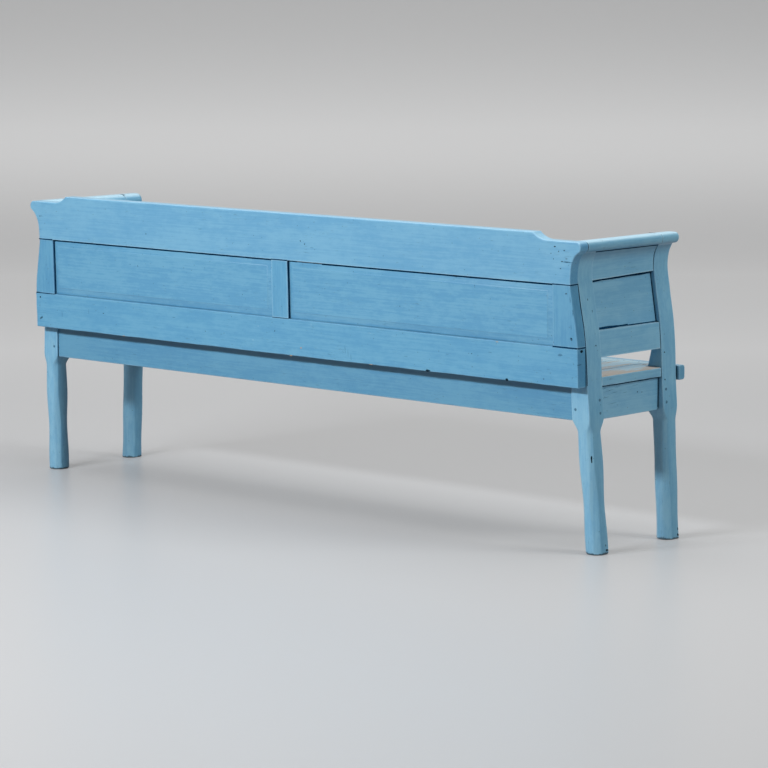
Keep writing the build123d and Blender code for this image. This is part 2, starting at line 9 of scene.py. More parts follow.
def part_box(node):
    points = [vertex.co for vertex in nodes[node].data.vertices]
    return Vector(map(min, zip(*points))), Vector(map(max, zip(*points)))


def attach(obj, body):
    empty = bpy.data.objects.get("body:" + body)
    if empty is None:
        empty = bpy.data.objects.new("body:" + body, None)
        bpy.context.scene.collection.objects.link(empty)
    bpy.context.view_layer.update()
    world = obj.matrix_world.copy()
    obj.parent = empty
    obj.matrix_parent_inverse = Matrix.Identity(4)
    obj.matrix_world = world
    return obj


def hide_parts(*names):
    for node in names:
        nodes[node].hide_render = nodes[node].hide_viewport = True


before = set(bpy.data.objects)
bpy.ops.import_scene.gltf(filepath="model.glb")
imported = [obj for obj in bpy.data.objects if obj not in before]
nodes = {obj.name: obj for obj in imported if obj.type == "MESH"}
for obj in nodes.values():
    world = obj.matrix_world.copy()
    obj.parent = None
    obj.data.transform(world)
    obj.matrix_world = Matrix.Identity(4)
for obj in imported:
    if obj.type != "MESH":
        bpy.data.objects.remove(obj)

scene = bpy.context.scene
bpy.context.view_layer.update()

# ---- Camera ----
# A camera with a long lens stands behind the bench and to the left of it, a little above the
# crest, and looks slightly down.

eye = Vector((-5.745258, 6.093141, 1.451875))
yaw, pitch, tilt = 0.7417997, 0.1348218, -0.0022951
ahead = Vector((math.sin(yaw) * math.cos(pitch), -math.cos(yaw) * math.cos(pitch), -math.sin(pitch)))
level = ahead.cross(Vector((0, 0, 1))).normalized()
upright = level.cross(ahead)
across = level * math.cos(tilt) + upright * math.sin(tilt)
above = upright * math.cos(tilt) - level * math.sin(tilt)

lens = bpy.data.cameras.new("camera")
lens.sensor_width = 36.0
lens.lens = 149.134
lens.clip_end = 60.0
camera = bpy.data.objects.new("camera", lens)
camera.matrix_world = Matrix.Translation(eye) @ Matrix((across, above, -ahead)).transposed().to_4x4()
scene.collection.objects.link(camera)
scene.camera = camera

# ---- Studio ----
# A pale sheet runs from the floor up into a wall. A lamp stands high behind the bench's back, a
# weak broad one off its left end, one hangs overhead, and the room gives an even light.


def feed(socket, value):
    """Links a socket to another one, or sets its value. A colour is three numbers."""
    if isinstance(value, bpy.types.NodeSocket):
        socket.id_data.links.new(value, socket)
    else:
        socket.default_value = (*value, 1) if socket.type == "RGBA" else value


def put(tree, kind, sockets=None, **settings):
    """Adds a shader node, sets its settings, and gives each named socket a value or a link."""
    node = tree.nodes.new("ShaderNode" + kind)
    for name, value in settings.items():
        setattr(node, name, value)
    for name, value in (sockets or {}).items():
        feed(node.inputs[name], value)
    return node


def arithmetic(operation, first, *others, clamp=False):
    """One arithmetic step on a socket and other sockets or numbers, as an output socket."""
    sockets = dict(enumerate((first, *others)))
    return put(first.id_data, "Math", sockets, operation=operation, use_clamp=clamp).outputs[0]


def times(first, second):
    """A socket times a socket or number."""
    return arithmetic("MULTIPLY", first, second)


def weighed(*terms):
    """The sum of sockets, each times its weight. Terms are a socket and a weight by turns."""
    parts = [times(socket, weight) for socket, weight in zip(terms[::2], terms[1::2])]
    total = parts[0]
    for part in parts[1:]:
        total = arithmetic("ADD", total, part)
    return total


def ramp(value, low, high, to_low=0.0, to_high=1.0):
    """A value stretched from low..high to to_low..to_high, with smooth ends."""
    sockets = {"Value": value, "From Min": low, "From Max": high, "To Min": to_low, "To Max": to_high}
    return put(value.id_data, "MapRange", sockets, interpolation_type="SMOOTHSTEP").outputs[0]


def mixed(factor, first, second, kind="MIX"):
    """Two colours mixed by a factor."""
    tree = (factor if isinstance(factor, bpy.types.NodeSocket) else first).id_data
    return put(tree, "Mix", {0: factor, 6: first, 7: second}, data_type="RGBA", blend_type=kind).outputs[2]


def coordinates(tree, kind):
    """The three numbers of a texture coordinate."""
    return put(tree, "SeparateXYZ", {0: put(tree, "TexCoord").outputs[kind]}).outputs


def new_material(name):
    """An empty node material and its tree."""
    material = bpy.data.materials.new(name)
    material.use_nodes = True
    material.node_tree.nodes.clear()
    return material, material.node_tree


def new_mesh(name, points, faces):
    """A smooth mesh from an array whose last side is xyz, and lists of point numbers."""
    mesh = bpy.data.meshes.new(name)
    mesh.from_pydata(points.reshape(-1, 3).tolist(), [], faces)
    mesh.shade_smooth()
    return mesh


FLOOR_AHEAD, FLOOR_RUN, BEND_R, WALL_TOP, SHEET_W = -7.0, 6.0, 3.0, 9.0, 30.0
turn = np.linspace(0, math.pi / 2, 25)
run = np.r_[FLOOR_AHEAD, 0.0, FLOOR_RUN + BEND_R * np.sin(turn), FLOOR_RUN + BEND_R]
rise = np.r_[0.0, 0.0, BEND_R - BEND_R * np.cos(turn), WALL_TOP]
width = np.array([-SHEET_W / 2, SHEET_W / 2])
# the profile (run, rise) is swept sideways; run goes the way the camera looks
swept = np.stack(np.broadcast_arrays(
    run[:, None] * math.sin(yaw) + width * math.cos(yaw),
    width * math.sin(yaw) - run[:, None] * math.cos(yaw), rise[:, None]), -1)
row = np.arange(len(run) - 1)[:, None] * 2
sheet_mesh = new_mesh("studio_sheet", swept, (row + [0, 1, 3, 2]).tolist())
sheet = bpy.data.objects.new("studio_sheet", sheet_mesh)
scene.collection.objects.link(sheet)

material, tree = new_material("studio_grey")
rays = put(tree, "LightPath").outputs
seen = arithmetic("ADD", rays["Is Camera Ray"], rays["Is Glossy Ray"], clamp=True)
place = put(tree, "TexCoord").outputs["Object"]
height = coordinates(tree, "Object")[2]
pale = mixed(ramp(height, 0.0, 0.5), (0.36, 0.36, 0.365), (0.86, 0.86, 0.865))
colour = mixed(seen, (0.29, 0.29, 0.295), pale)
# only seen and mirrored: the sheet is lit up a little, most of all behind the bench
away = put(tree, "VectorMath", {0: place, 1: (math.sin(yaw), -math.cos(yaw), 0.0)}, operation="DOT_PRODUCT")
glow = times(ramp(away.outputs["Value"], 0.5, 5.5, 0.52, 1.35), ramp(height, 0.0, 1.3, 1.0, 0.36))
glow = mixed(times(glow, seen), (0, 0, 0), (0.29, 0.29, 0.29))
sheen = put(tree, "BsdfPrincipled", {
    "Base Color": colour, "Roughness": 0.36, "Emission Color": glow, "Emission Strength": 1.0})
put(tree, "OutputMaterial", {"Surface": sheen.outputs[0]})
sheet.data.materials.append(material)

world = bpy.data.worlds.new("room")
world.use_nodes = True
air = world.node_tree.nodes["Background"].inputs
feed(air["Color"], (1.0, 0.985, 0.965))
feed(air["Strength"], 0.18)
scene.world = world


def softbox(name, place, aim, size, power, colour):
    """A broad rectangular lamp at a place, aimed at a point."""
    light = bpy.data.lights.new(name, "AREA")
    light.shape = "RECTANGLE"
    light.size, light.size_y = size
    light.energy = power
    light.color = colour
    lamp = bpy.data.objects.new(name, light)
    lamp.location = place
    lamp.rotation_euler = (Vector(aim) - Vector(place)).to_track_quat("-Z", "Y").to_euler()
    scene.collection.objects.link(lamp)


softbox("key", (0.35, 4.6, 2.9), (0.0, 0.2, 0.4), (2.6, 0.45), 234.0, (0.965, 1.0, 1.035))
softbox("overhead", (0.0, -0.3, 3.6), (0, 0, 0), (4.0, 3.0), 85.0, (1.0, 1.0, 1.0))
softbox("side", (-4.6, -1.4, 3.6), (-1.0, 0, 0.5), (1.8, 1.8), 116.0, (0.985, 1.0, 0.97))

# ---- Posts ----
# Each post is sawn from a plank, in a double curve above the seat. Under the apron its corners
# are planed off, from lamb's tongues down, into an octagon that widens to the foot.

RAKE = math.radians(1.36)
HINGE_Y, HINGE_Z = 0.200841, 0.433  # the back leans about its rear face at the seat
FRAME_T, POST_D, POST_SPREAD = 0.031, 0.057, 0.3505
BACK_POST_REAR = HINGE_Y - FRAME_T
BACK_POST_FRONT = BACK_POST_REAR - POST_D
FRONT_POST_FRONT = BACK_POST_REAR - POST_SPREAD
FRONT_POST_REAR = FRONT_POST_FRONT + POST_D
ARM_SEAT = 0.7395
SHOULDER_TOP, SHOULDER_BOTTOM = 0.335, 0.297
SHOULDER_OUT, SHOULDER_IN, SHOULDER_D, SHOULDER_CUT = 0.988, 0.9415, 0.0505, 0.011
FOOT_OUT, FOOT_IN, FOOT_CUT = 1.003, 0.9535, 0.016
BACK_FOOT_D, BACK_FOOT_STEP, FRONT_FOOT_STEP = 0.053, 0.009, 0.005
POST_CUT, FOOT_WORN = 0.002, 0.002
CORNER_POINTS = 9  # points round each corner of a post
# the sawn curves: heights, and x at each
OUTER = ([0.748, 0.717, 0.693, 0.627, 0.545, 0.480, 0.410, 0.335],
         [0.973, 0.957, 0.953, 0.960, 0.9735, 0.979, 0.9815, 0.9865])
INNER = ([0.748, 0.717, 0.693, 0.625, 0.545, 0.482, 0.437, 0.411, 0.335],
         [0.944, 0.926, 0.920, 0.9275, 0.941, 0.947, 0.937, 0.9315, 0.9315])
BLUE = (0.156, 0.375, 0.560)


def through(at, knots, values):
    """A cubic between each two knots, whose slope at a knot comes from the knots beside it."""
    order = np.argsort(knots)
    knots, values = np.asarray(knots)[order], np.asarray(values)[order]
    slope = np.gradient(values, knots)
    cell = np.clip(np.searchsorted(knots, at) - 1, 0, len(knots) - 2)
    gap = knots[cell + 1] - knots[cell]
    t = np.clip((at - knots[cell]) / gap, 0, 1)
    ends = (1 + 2 * t) * (1 - t) ** 2 * values[cell] + t * t * (3 - 2 * t) * values[cell + 1]
    return ends + gap * t * (1 - t) * ((1 - t) * slope[cell] - t * slope[cell + 1])


def ripple(points, size, seed):
    """Six plane waves in random directions, 0.6 to 1.6 times size long, averaged: -1 to 1."""
    chance = np.random.default_rng(seed)
    ways = chance.normal(size=(6, points.shape[-1]))
    ways /= np.linalg.norm(ways, axis=1)[:, None]
    waves = ways / (size * chance.uniform(0.6, 1.6, (6, 1)))
    return np.sin(2 * math.pi * (points @ waves.T + chance.uniform(0, 1, 6))).mean(-1)


def lean(points):
    """Points turned back by the rake about the hinge line."""
    y, z = points[..., 1] - HINGE_Y, points[..., 2] - HINGE_Z
    turned_y = HINGE_Y + y * math.cos(RAKE) + z * math.sin(RAKE)
    return np.stack([points[..., 0], turned_y, HINGE_Z + z * math.cos(RAKE) - y * math.sin(RAKE)], -1)


def shell(name, rings, body, material, *stands_for, slot="painted_wood"):
    """One closed shell, or several: each ring of points is joined to the next, the ends filled."""
    rings = rings.reshape(-1, *rings.shape[-3:])
    shells, count, around = rings.shape[:3]
    ring = (np.arange(shells)[:, None] * count + np.arange(count - 1)).reshape(-1, 1) * around
    here = np.arange(around)
    there = (here + 1) % around
    sides = np.stack([ring + here, ring + there, ring + around + there, ring + around + here], -1)
    sides = sides.reshape(-1, 4)
    start = np.arange(shells)[:, None] * count * around
    ends = np.r_[start + here[::-1], start + (count - 1) * around + here]
    mesh = new_mesh(name, rings, sides.tolist() + ends.tolist())
    work = bmesh.new()
    work.from_mesh(mesh)
    bmesh.ops.recalc_face_normals(work, faces=work.faces)
    work.to_mesh(mesh)
    work.free()
    mesh.set_sharp_from_angle(angle=math.radians(40))
    mesh.polygons.foreach_set("use_smooth", np.arange(len(mesh.polygons)) < len(sides))
    mesh.materials.append(material)
    piece = bpy.data.objects.new(name, mesh)
    scene.collection.objects.link(piece)
    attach(piece, body)
    if stands_for:
        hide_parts(*stands_for)


def both_ends(material, *pieces, slot="painted_wood"):
    """Mirrored pieces of the bench's ends, each a name, the right one's rings and its node."""
    for side, hand in ((-1, "left_"), (1, "right_")):
        for name, rings, stands_for in pieces:
            shell(hand + name, rings * [side, 1, 1], "bench", material, hand + stands_for, slot=slot)


def new_group(name, **inputs):
    """A shader node group. An input without a value is a vector, one with three is a colour."""
    tree = bpy.data.node_groups.new(name, "ShaderNodeTree")
    for label, value in inputs.items():
        kind = "Vector" if value is None else "Color" if isinstance(value, tuple) else "Float"
        socket = tree.interface.new_socket(label, in_out="INPUT", socket_type="NodeSocket" + kind)
        if value is not None:
            socket.default_value = (*value, 1) if kind == "Color" else value
    return tree, tree.nodes.new("NodeGroupInput").outputs


def end_group(tree, **results):
    """Puts out a group's results: Color is a colour, the others are numbers."""
    for label in results:
        kind = "NodeSocketColor" if label == "Color" else "NodeSocketFloat"
        tree.interface.new_socket(label, in_out="OUTPUT", socket_type=kind)
    target = tree.nodes.new("NodeGroupOutput").inputs
    for label, value in results.items():
        feed(target[label], value)
    return tree


def use_group(tree, group, **sockets):
    """A shared group placed in a tree, as its output sockets."""
    node = put(tree, "Group", node_tree=group)
    for name, value in sockets.items():
        feed(node.inputs[name], value)
    return node.outputs


def drawn_out(vector, stretch, scale, detail=4.0, roughness=0.6):
    """Noise drawn out along X: the vector is scaled by (1, stretch, stretch) times scale."""
    tree = vector.id_data
    scaled = put(tree, "VectorMath", {0: vector, 1: (1.0, stretch, stretch)}, operation="MULTIPLY").outputs[0]
    sockets = {"Vector": scaled, "Scale": scale, "Detail": detail, "Roughness": roughness}
    return put(tree, "TexNoise", sockets).outputs[0]


def build_grain():
    """The grain of a board whose length runs along the vector's X, in metres.

    Cloud varies over a few decimetres. Streaks are noise drawn out 40 to 1, the brush marks.
    Ticks are short dark lines: the highest part of noise drawn out 12 to 1. Specks are spots of
    1 mm in some cells of a 10 mm pattern. Rings are waves across the board, bent by noise.
    Mottle is blotches of a centimetre or two, with finer ones in them.
    """
    tree, given = new_group("grain", Vector=None)
    vector = given["Vector"]
    fine, patches = drawn_out(vector, 12.0, 45.0, 3.0, 0.65), drawn_out(vector, 3.0, 8.0, 2.0)
    cells = put(tree, "TexVoronoi", {"Vector": vector, "Scale": 100.0}).outputs
    chance = put(tree, "SeparateColor", {0: cells["Color"]}).outputs[0]
    width = put(tree, "SeparateXYZ", {0: vector}).outputs[1]
    bent = weighed(width, 420.0, drawn_out(vector, 5.0, 2.2, 2.0), 60.0)
    return end_group(
        tree, Cloud=drawn_out(vector, 2.5, 4.0, 3.0), Streaks=drawn_out(vector, 40.0, 6.0, 6.0, 0.7),
        Ticks=times(ramp(fine, 0.62, 0.68), ramp(patches, 0.46, 0.62)),
        Specks=times(ramp(cells["Distance"], 0.15, 0.08), ramp(chance, 0.86, 0.88)),
        Rings=arithmetic("MULTIPLY_ADD", arithmetic("SINE", bent), 0.5, 0.5),
        Mottle=drawn_out(vector, 2.2, 28.0, 6.0, 0.75))


def build_edges():
    """Masks of a piece's edges. Arris grows with how little of the piece's own wood lies within
    5 mm under the surface, and crevice with how much wood stands within 8 mm above it."""
    tree, _ = new_group("edges")
    under = put(tree, "AmbientOcclusion", {"Distance": 0.005}, samples=6, inside=True, only_local=True)
    over = put(tree, "AmbientOcclusion", {"Distance": 0.008}, samples=8)
    return end_group(tree, Arris=ramp(under.outputs["AO"], 0.92, 0.55),
                     Crevice=ramp(over.outputs["AO"], 0.80, 0.30))


grain_group = build_grain()
edges_group = build_edges()


def tinted(colour, tint):
    """A colour multiplied by another."""
    return mixed(1.0, colour, tint, "MULTIPLY")


def build_paint():
    """Brushed oil paint on pine.

    Colour is the paint, a little lighter and darker with streaks, mottle and cloud, darker by
    Ends on faces that look along the bench (painted shade), paler by Tops on faces that look up
    (worn paint and a painted sheen), darker on the legs below the seat and paler on their backs by
    Faded (painted shade and a painted sheen), dark in ticks and specks, darker in
    crevices by Grime (painted shade) and by Feet at the floor, paler on arrises by Pale
    (worn paint and a painted highlight), and rubbed to the wood on arrises where noise is high.
    Height is the brush marks and a slow swell, less the ticks and the rubbed places.
    """
    tree, given = new_group(
        "paint", Vector=None, Paint=(0.15, 0.39, 0.60), Wood=(0.38, 0.28, 0.19), Chipping=0.6,
        Grime=0.9, Streaking=1.4, Pale=0.4, Ends=0.0, Tops=0.35, Faded=0.0, Feet=0.0)
    grain = use_group(tree, grain_group, Vector=given["Vector"])
    edges = use_group(tree, edges_group)
    shade = weighed(grain["Cloud"], 0.3, grain["Streaks"], 0.4, grain["Mottle"], 0.3)
    shade = times(arithmetic("SUBTRACT", shade, 0.5), given["Streaking"])
    colour = mixed(ramp(shade, -0.10, 0.10), tinted(given["Paint"], (0.83, 0.91, 0.95)),
                   tinted(given["Paint"], (1.13, 1.07, 1.02)))
    facing, height = coordinates(tree, "Normal"), coordinates(tree, "Object")[2]
    # painted shade: faces that look along the bench are darker, by Ends
    sideways = ramp(arithmetic("ABSOLUTE", facing[0]), 0.6, 0.85)
    colour = mixed(times(sideways, given["Ends"]), colour, tinted(colour, (0.50, 0.72, 0.82)))
    # worn paint and a painted sheen: faces that look up are paler, by Tops
    colour = mixed(times(ramp(facing[2], 0.45, 0.95), given["Tops"]), colour, (0.46, 0.67, 0.78))
    # painted shade on the legs below the seat, and a painted sheen on the backs of the legs
    legs = times(ramp(height, 0.42, 0.34), given["Faded"])
    colour = mixed(legs, colour, tinted(colour, (0.84, 0.90, 0.92)))
    colour = mixed(times(ramp(facing[1], 0.3, 0.8), legs), colour, tinted(colour, (1.50, 1.26, 1.18)))
    colour = mixed(times(grain["Ticks"], 0.6), colour, (0.06, 0.17, 0.26))
    colour = mixed(times(grain["Specks"], 0.7), colour, (0.03, 0.08, 0.11))
    # worn paint and a painted highlight: arrises are paler, by Pale
    colour = mixed(times(edges["Arris"], given["Pale"]), colour, (0.46, 0.68, 0.80))
    rubbed = weighed(drawn_out(given["Vector"], 2.0, 70.0, 4.0, 0.7), 1.0, grain["Cloud"], 0.3)
    bare = times(times(edges["Arris"], ramp(rubbed, 0.82, 0.87)), given["Chipping"])
    colour = mixed(bare, colour, given["Wood"])
    wavy = arithmetic("MULTIPLY_ADD", grain["Mottle"], -0.02, 0.013)
    low = times(ramp(arithmetic("SUBTRACT", height, wavy), 0.003, 0.0), given["Feet"])
    # painted shade in crevices, by Grime, and darker at the floor by Feet
    crevice_shade_and_feet = arithmetic("MAXIMUM", times(edges["Crevice"], given["Grime"]), low)
    return end_group(
        tree, Color=mixed(crevice_shade_and_feet, colour, (0.008, 0.022, 0.034)),
        Roughness=ramp(grain["Streaks"], 0.3, 0.7, 0.33, 0.47),
        Height=weighed(grain["Streaks"], 0.4, grain["Cloud"], 2.5, grain["Ticks"], -0.4, bare, -1.0))


paint_group = build_paint()


def along_board(tree, axis):
    """Object coordinates turned so that X runs along a board that lies along axis."""
    split = coordinates(tree, "Object")
    order = {"X": "XYZ", "Y": "YXZ", "Z": "ZXY"}[axis]
    return put(tree, "CombineXYZ", {i: split[letter] for i, letter in enumerate(order)}).outputs[0]


def surface(material, colour, roughness, height, eased_by=0.0, strength=0.4, deep=0.0006, **more):
    """Ends a material: one shader, bumped by height, its edges shaded as rounded by eased_by."""
    tree = material.node_tree
    bump = {"Height": height, "Strength": strength, "Distance": deep}
    if eased_by:
        bump["Normal"] = put(tree, "Bevel", {"Radius": eased_by}, samples=4).outputs[0]
    shader = put(tree, "BsdfPrincipled", {
        "Base Color": colour, "Roughness": roughness, "Normal": put(tree, "Bump", bump).outputs[0], **more})
    put(tree, "OutputMaterial", {"Surface": shader.outputs[0]})
    return material


def painted_pine(name, axis, paint=BLUE, eased_by=0.0, shadow_band_from=None, **values):
    """Painted pine whose grain runs along axis, darker with a painted shadow from a height upwards."""
    material, tree = new_material(name)
    painted = use_group(tree, paint_group, Vector=along_board(tree, axis), Paint=paint, **values)
    colour = painted["Color"]
    if shadow_band_from:
        shadow_band = ramp(coordinates(tree, "Object")[2], shadow_band_from, shadow_band_from + 0.006, 0.0, 0.45)
        colour = mixed(shadow_band, colour, (0.012, 0.045, 0.075))
    return surface(material, colour, painted["Roughness"], painted["Height"], eased_by)


def post_rings(front_face, foot_d, foot_step):
    """The sections of a right-hand post, from below the floor to above the arm.

    At each height the section is a rectangle between the sawn curves; below the shoulder it goes
    straight to the foot, and between the two it eases as 3 t^2 - 2 t^3. Its corners are cut off
    by c along both sides, on the curve (c - c sin^e u, c - c cos^e u): e is 1, a quarter circle,
    above the shoulder and 1.7, nearly a flat, below it. Slow waves vary c by up to a quarter.
    """
    z = np.r_[-0.006, 0.0018, np.linspace(0.008, SHOULDER_BOTTOM, 22),
              np.linspace(SHOULDER_BOTTOM, SHOULDER_TOP, 14)[1:], np.linspace(SHOULDER_TOP, 0.745, 52)[1:]]
    t = np.clip((SHOULDER_TOP - z) / (SHOULDER_TOP - SHOULDER_BOTTOM), 0, 1)
    ease = t * t * (3 - 2 * t)
    down = np.clip((SHOULDER_BOTTOM - z) / SHOULDER_BOTTOM, 0, 1)

    def shaped(above, shoulder, foot):
        """A size that changes from above the shoulder to the one at it, and on to the foot's."""
        return above + (shoulder - above) * ease + (foot - shoulder) * down

    outer = shaped(through(z, *OUTER), SHOULDER_OUT, FOOT_OUT)
    inner = shaped(through(z, *INNER), SHOULDER_IN, FOOT_IN)
    deep = shaped(POST_D, SHOULDER_D, foot_d)
    cut = shaped(POST_CUT, SHOULDER_CUT, FOOT_CUT)
    front = (front_face if front_face else BACK_POST_REAR - deep) - foot_step * down
    worn = np.where(z < 0, FOOT_WORN, 0.0)
    outer, inner, front, rear = outer - worn, inner + worn, front + worn, front + deep - worn
    cut = cut * (1 + 0.25 * ripple(np.stack([z, front], -1), 0.16, 4))
    outer, inner, front, rear, cut, ease = (
        given[:, None] for given in (outer, inner, front, rear, cut, ease))
    u = np.linspace(0, math.pi / 2, CORNER_POINTS)
    go, come = (cut * (1 - way(u) ** (1 + 0.7 * ease)) for way in (np.sin, np.cos))
    # the corners in turn: inner front, outer front, outer rear, inner rear
    x = [inner + come, outer - go, outer - come, inner + go]
    y = [front + go, front + come, rear - go, rear - come]
    rings = np.stack([x, y, np.broadcast_to(z[:, None], np.shape(x))], -1)
    return rings.transpose(1, 0, 2, 3).reshape(len(z), -1, 3)


def grounded(rings):
    """Rings kept between the floor and the seat of the arms."""
    return np.clip(rings, [-np.inf, -np.inf, 0.0], [np.inf, np.inf, ARM_SEAT - 0.0003])


# the legs get painted shade below the seat and a painted sheen on their backs
post_paint = painted_pine("post_paint", "Z", (0.170, 0.400, 0.580), Faded=1.0, Feet=0.8)
back_rings = grounded(lean(post_rings(None, BACK_FOOT_D, BACK_FOOT_STEP)))
front_rings = grounded(post_rings(FRONT_POST_FRONT, POST_D, FRONT_FOOT_STEP))
both_ends(post_paint, ("back_post_sawn", back_rings, "back_post"),
          ("front_post_sawn", front_rings, "front_post"))

# ---- Back frame ----
# Pine boards: a crest rail, two stiles and a muntin tenoned into it and into a long bottom
# rail, all pegged and painted. The whole frame leans back a little and is nailed to the posts.

REAR, AHEAD = HINGE_Y, BACK_POST_REAR  # faces of the frame before it leans
RAIL_BOTTOM, RAIL_TOP, RAIL_HALF = 0.413, 0.5085, 0.977
CREST_BOTTOM, EAR_TOP, CREST_TOP = 0.6615, 0.766, 0.7835
CREST_STEP, EAR_START, EAR_NOSE, EAR_OUTER = 0.842, 0.887, 0.7535, 0.989
EAR_X = [0.945, 0.915]  # points along the ear's level top
CREST_END = ([EAR_NOSE, 0.7425, 0.737, 0.716, 0.693, CREST_BOTTOM],
             [EAR_OUTER, 0.9855, 0.9775, 0.9625, 0.957, 0.9554])
STILE_INNER, MUNTIN_X, MUNTIN_W = 0.900, 0.019, 0.058
WORN, LESS_WORN, TIGHT = 0.0026, 0.0022, 0.0010  # rounding of free edges, and of edges at joints
GAP, OPEN_GAP = 0.0008, 0.0018  # shrinkage between two boards


def outward(outline):
    """Outward mitres of a closed anticlockwise outline: (n + m) / (1 + n . m) at the point where
    an edge with unit normal n meets one with m."""
    edge = np.roll(outline, -1, 0) - outline
    edge /= np.linalg.norm(edge, axis=1)[:, None]
    after = np.stack([edge[:, 1], -edge[:, 0]], -1)
    before = np.roll(after, 1, 0)
    return (after + before) / (1 + (after * before).sum(1))[:, None]


def divided(start, end, pitch=0.012):
    """The line from start towards end, end left out, with a point 5 mm in from either end."""
    long = np.linalg.norm(end - start)
    near = min(0.005, long / 3)
    steps = np.linspace(near, long - near, max(2, math.ceil(long / pitch)))
    return start + (end - start) * (np.r_[0.0, steps] / long)[:, None]


def path(*stretches):
    """A closed outline from stretches of points, the gaps over 4 mm drawn as divided lines."""
    after = stretches[1:] + stretches[:1]
    lines = [divided(a[-1], b[0])[1:] if np.linalg.norm(a[-1] - b[0]) > 0.004 else a[:0]
             for a, b in zip(stretches, after)]
    return np.concatenate([part for pair in zip(stretches, lines) for part in pair])


def eased(corners, radii, steps=5):
    """A closed outline whose corners are right angles, each rounded as a quarter circle.

    With a the way into a corner p and b the way out of it, the circle's centre is
    p + r (b - a) and its points are centre + r (a sin t - b cos t), t from 0 to a right angle.
    A corner of radius 0 stays sharp.
    """
    corners = np.asarray(corners)
    way = np.roll(corners, -1, 0) - corners
    way /= np.linalg.norm(way, axis=1)[:, None]
    t = np.linspace(0, math.pi / 2, steps)[:, None]
    return path(*[p + r * (b - a) + r * (a * np.sin(t) - b * np.cos(t)) if r else p[None]
                  for p, b, a, r in zip(corners, way, np.roll(way, 1, 0), radii)])


def rectangle(x, y, radii=(0, 0, 0, 0), steps=5):
    """The outline of a rectangle between two x and two y values, its corners rounded."""
    return eased([(x[0], y[0]), (x[1], y[0]), (x[1], y[1]), (x[0], y[1])], radii, steps)


def carried(outline, start, end, radius=WORN, wear=0.5, seed=0):
    """Rings of an outline (a, b) carried straight from start to end, as points (a, b, along).

    At either end the outline closes in over a quarter circle: radius (1 - sin t) inside, at
    radius (1 - cos t) from the end. Where slow waves peak the radius is up to 1 + wear times
    as large, so that a long edge is worn here more than there.
    """
    waves = ripple(outline, 0.11, seed) + 0.8 * ripple(outline, 0.03, seed + 1)
    radius = radius * (1 + wear * np.clip(waves * 1.6, -0.6, 1))[None]
    t = np.linspace(0, math.pi / 2, 5)[:, None]
    inset = np.r_[radius * (1 - np.sin(t)), radius * 0]
    depth = np.r_[radius * (1 - np.cos(t)), radius + 0.0012]
    inset, depth = np.r_[inset, inset[::-1]], np.r_[depth, abs(end - start) - depth[::-1]]
    flat = outline - outward(outline) * inset[..., None]
    along = start + depth * np.sign(end - start)
    return np.dstack([flat, along])


def plank(name, outline, material, stands_for, radius, seed):
    """A board of the back frame, sawn to an outline in (x, z)."""
    rings = carried(outline, REAR, AHEAD, radius, seed=seed)
    shell(name, lean(rings[..., [0, 2, 1]]), "bench", material, stands_for)


# the rail, stiles and muntin, and the panels below, take darker copies of the crest's blue: painted shade, as
# the back is darker below its crest
crest_paint = painted_pine("crest_paint", "X", (0.157, 0.384, 0.574), Ends=0.9, Pale=0.3, Chipping=0.2)
rail_paint = painted_pine("rail_paint", "X", (0.121, 0.348, 0.540), Ends=1.0, Grime=0.5, Tops=0.0,
                          Pale=0.15, Chipping=0.2)
stile_paint = painted_pine("stile_paint", "Z", (0.110, 0.318, 0.500), Ends=0.8, Pale=0.2, Chipping=0.2)
muntin_paint = painted_pine("muntin_paint", "Z", (0.124, 0.351, 0.540))

# crest: hollow waist, nose of the ear, ear, and a hollow step up to the raised middle
waist_z = np.linspace(CREST_BOTTOM, EAR_NOSE, 26)
nose_r = EAR_TOP - EAR_NOSE
quarter = np.linspace(0, math.pi / 2, 9)[1:]
step_run, step_rise = EAR_START - CREST_STEP, CREST_TOP - EAR_TOP
step_r = (step_run ** 2 + step_rise ** 2) / (2 * step_rise)
bend = np.linspace(0, math.asin(step_run / step_r), 10)
end_x = np.r_[through(waist_z, *CREST_END), EAR_OUTER - nose_r * (1 - np.cos(quarter)),
              EAR_X, EAR_START - step_r * np.sin(bend)]
end_z = np.r_[waist_z, EAR_NOSE + nose_r * np.sin(quarter), EAR_TOP, EAR_TOP,
              EAR_TOP + step_r * (1 - np.cos(bend))]
crest_end = np.stack([end_x, end_z], -1)
crest_outline = path(crest_end, crest_end[::-1] * [-1, 1])
crest_radius = np.where(crest_outline[:, 1] < CREST_BOTTOM + 0.002, TIGHT, WORN)
plank("crest_board", crest_outline, crest_paint, "crest_rail", crest_radius, 3)

rail_outline = rectangle((-RAIL_HALF, RAIL_HALF), (RAIL_BOTTOM, RAIL_TOP))
rail_radius = np.where(rail_outline[:, 1] > RAIL_TOP - 0.001, TIGHT, LESS_WORN)
plank("bottom_rail_board", rail_outline, rail_paint, "bottom_rail", rail_radius, 5)

for side, hand, foot_gap in ((-1, "left_", OPEN_GAP), (1, "right_", GAP)):
    z = np.linspace(RAIL_TOP + foot_gap, CREST_BOTTOM - GAP, 22)
    outer = np.stack([through(z, *OUTER), z], -1)
    stile_outline = path(outer, np.array([[STILE_INNER, z[-1]]]), np.array([[STILE_INNER, z[0]]]))
    stile_radius = np.where(stile_outline[:, 0] > 0.95, WORN, TIGHT)
    if side < 0:
        stile_outline, stile_radius = stile_outline[::-1] * [-1, 1], stile_radius[::-1]
    plank(hand + "stile_board", stile_outline, stile_paint, hand + "stile", stile_radius, 8 + side)

muntin_x = (MUNTIN_X - MUNTIN_W / 2, MUNTIN_X + MUNTIN_W / 2)
muntin_outline = rectangle(muntin_x, (RAIL_TOP + GAP, CREST_BOTTOM - GAP))
plank("muntin_board", muntin_outline, muntin_paint, "muntin", TIGHT, 11)

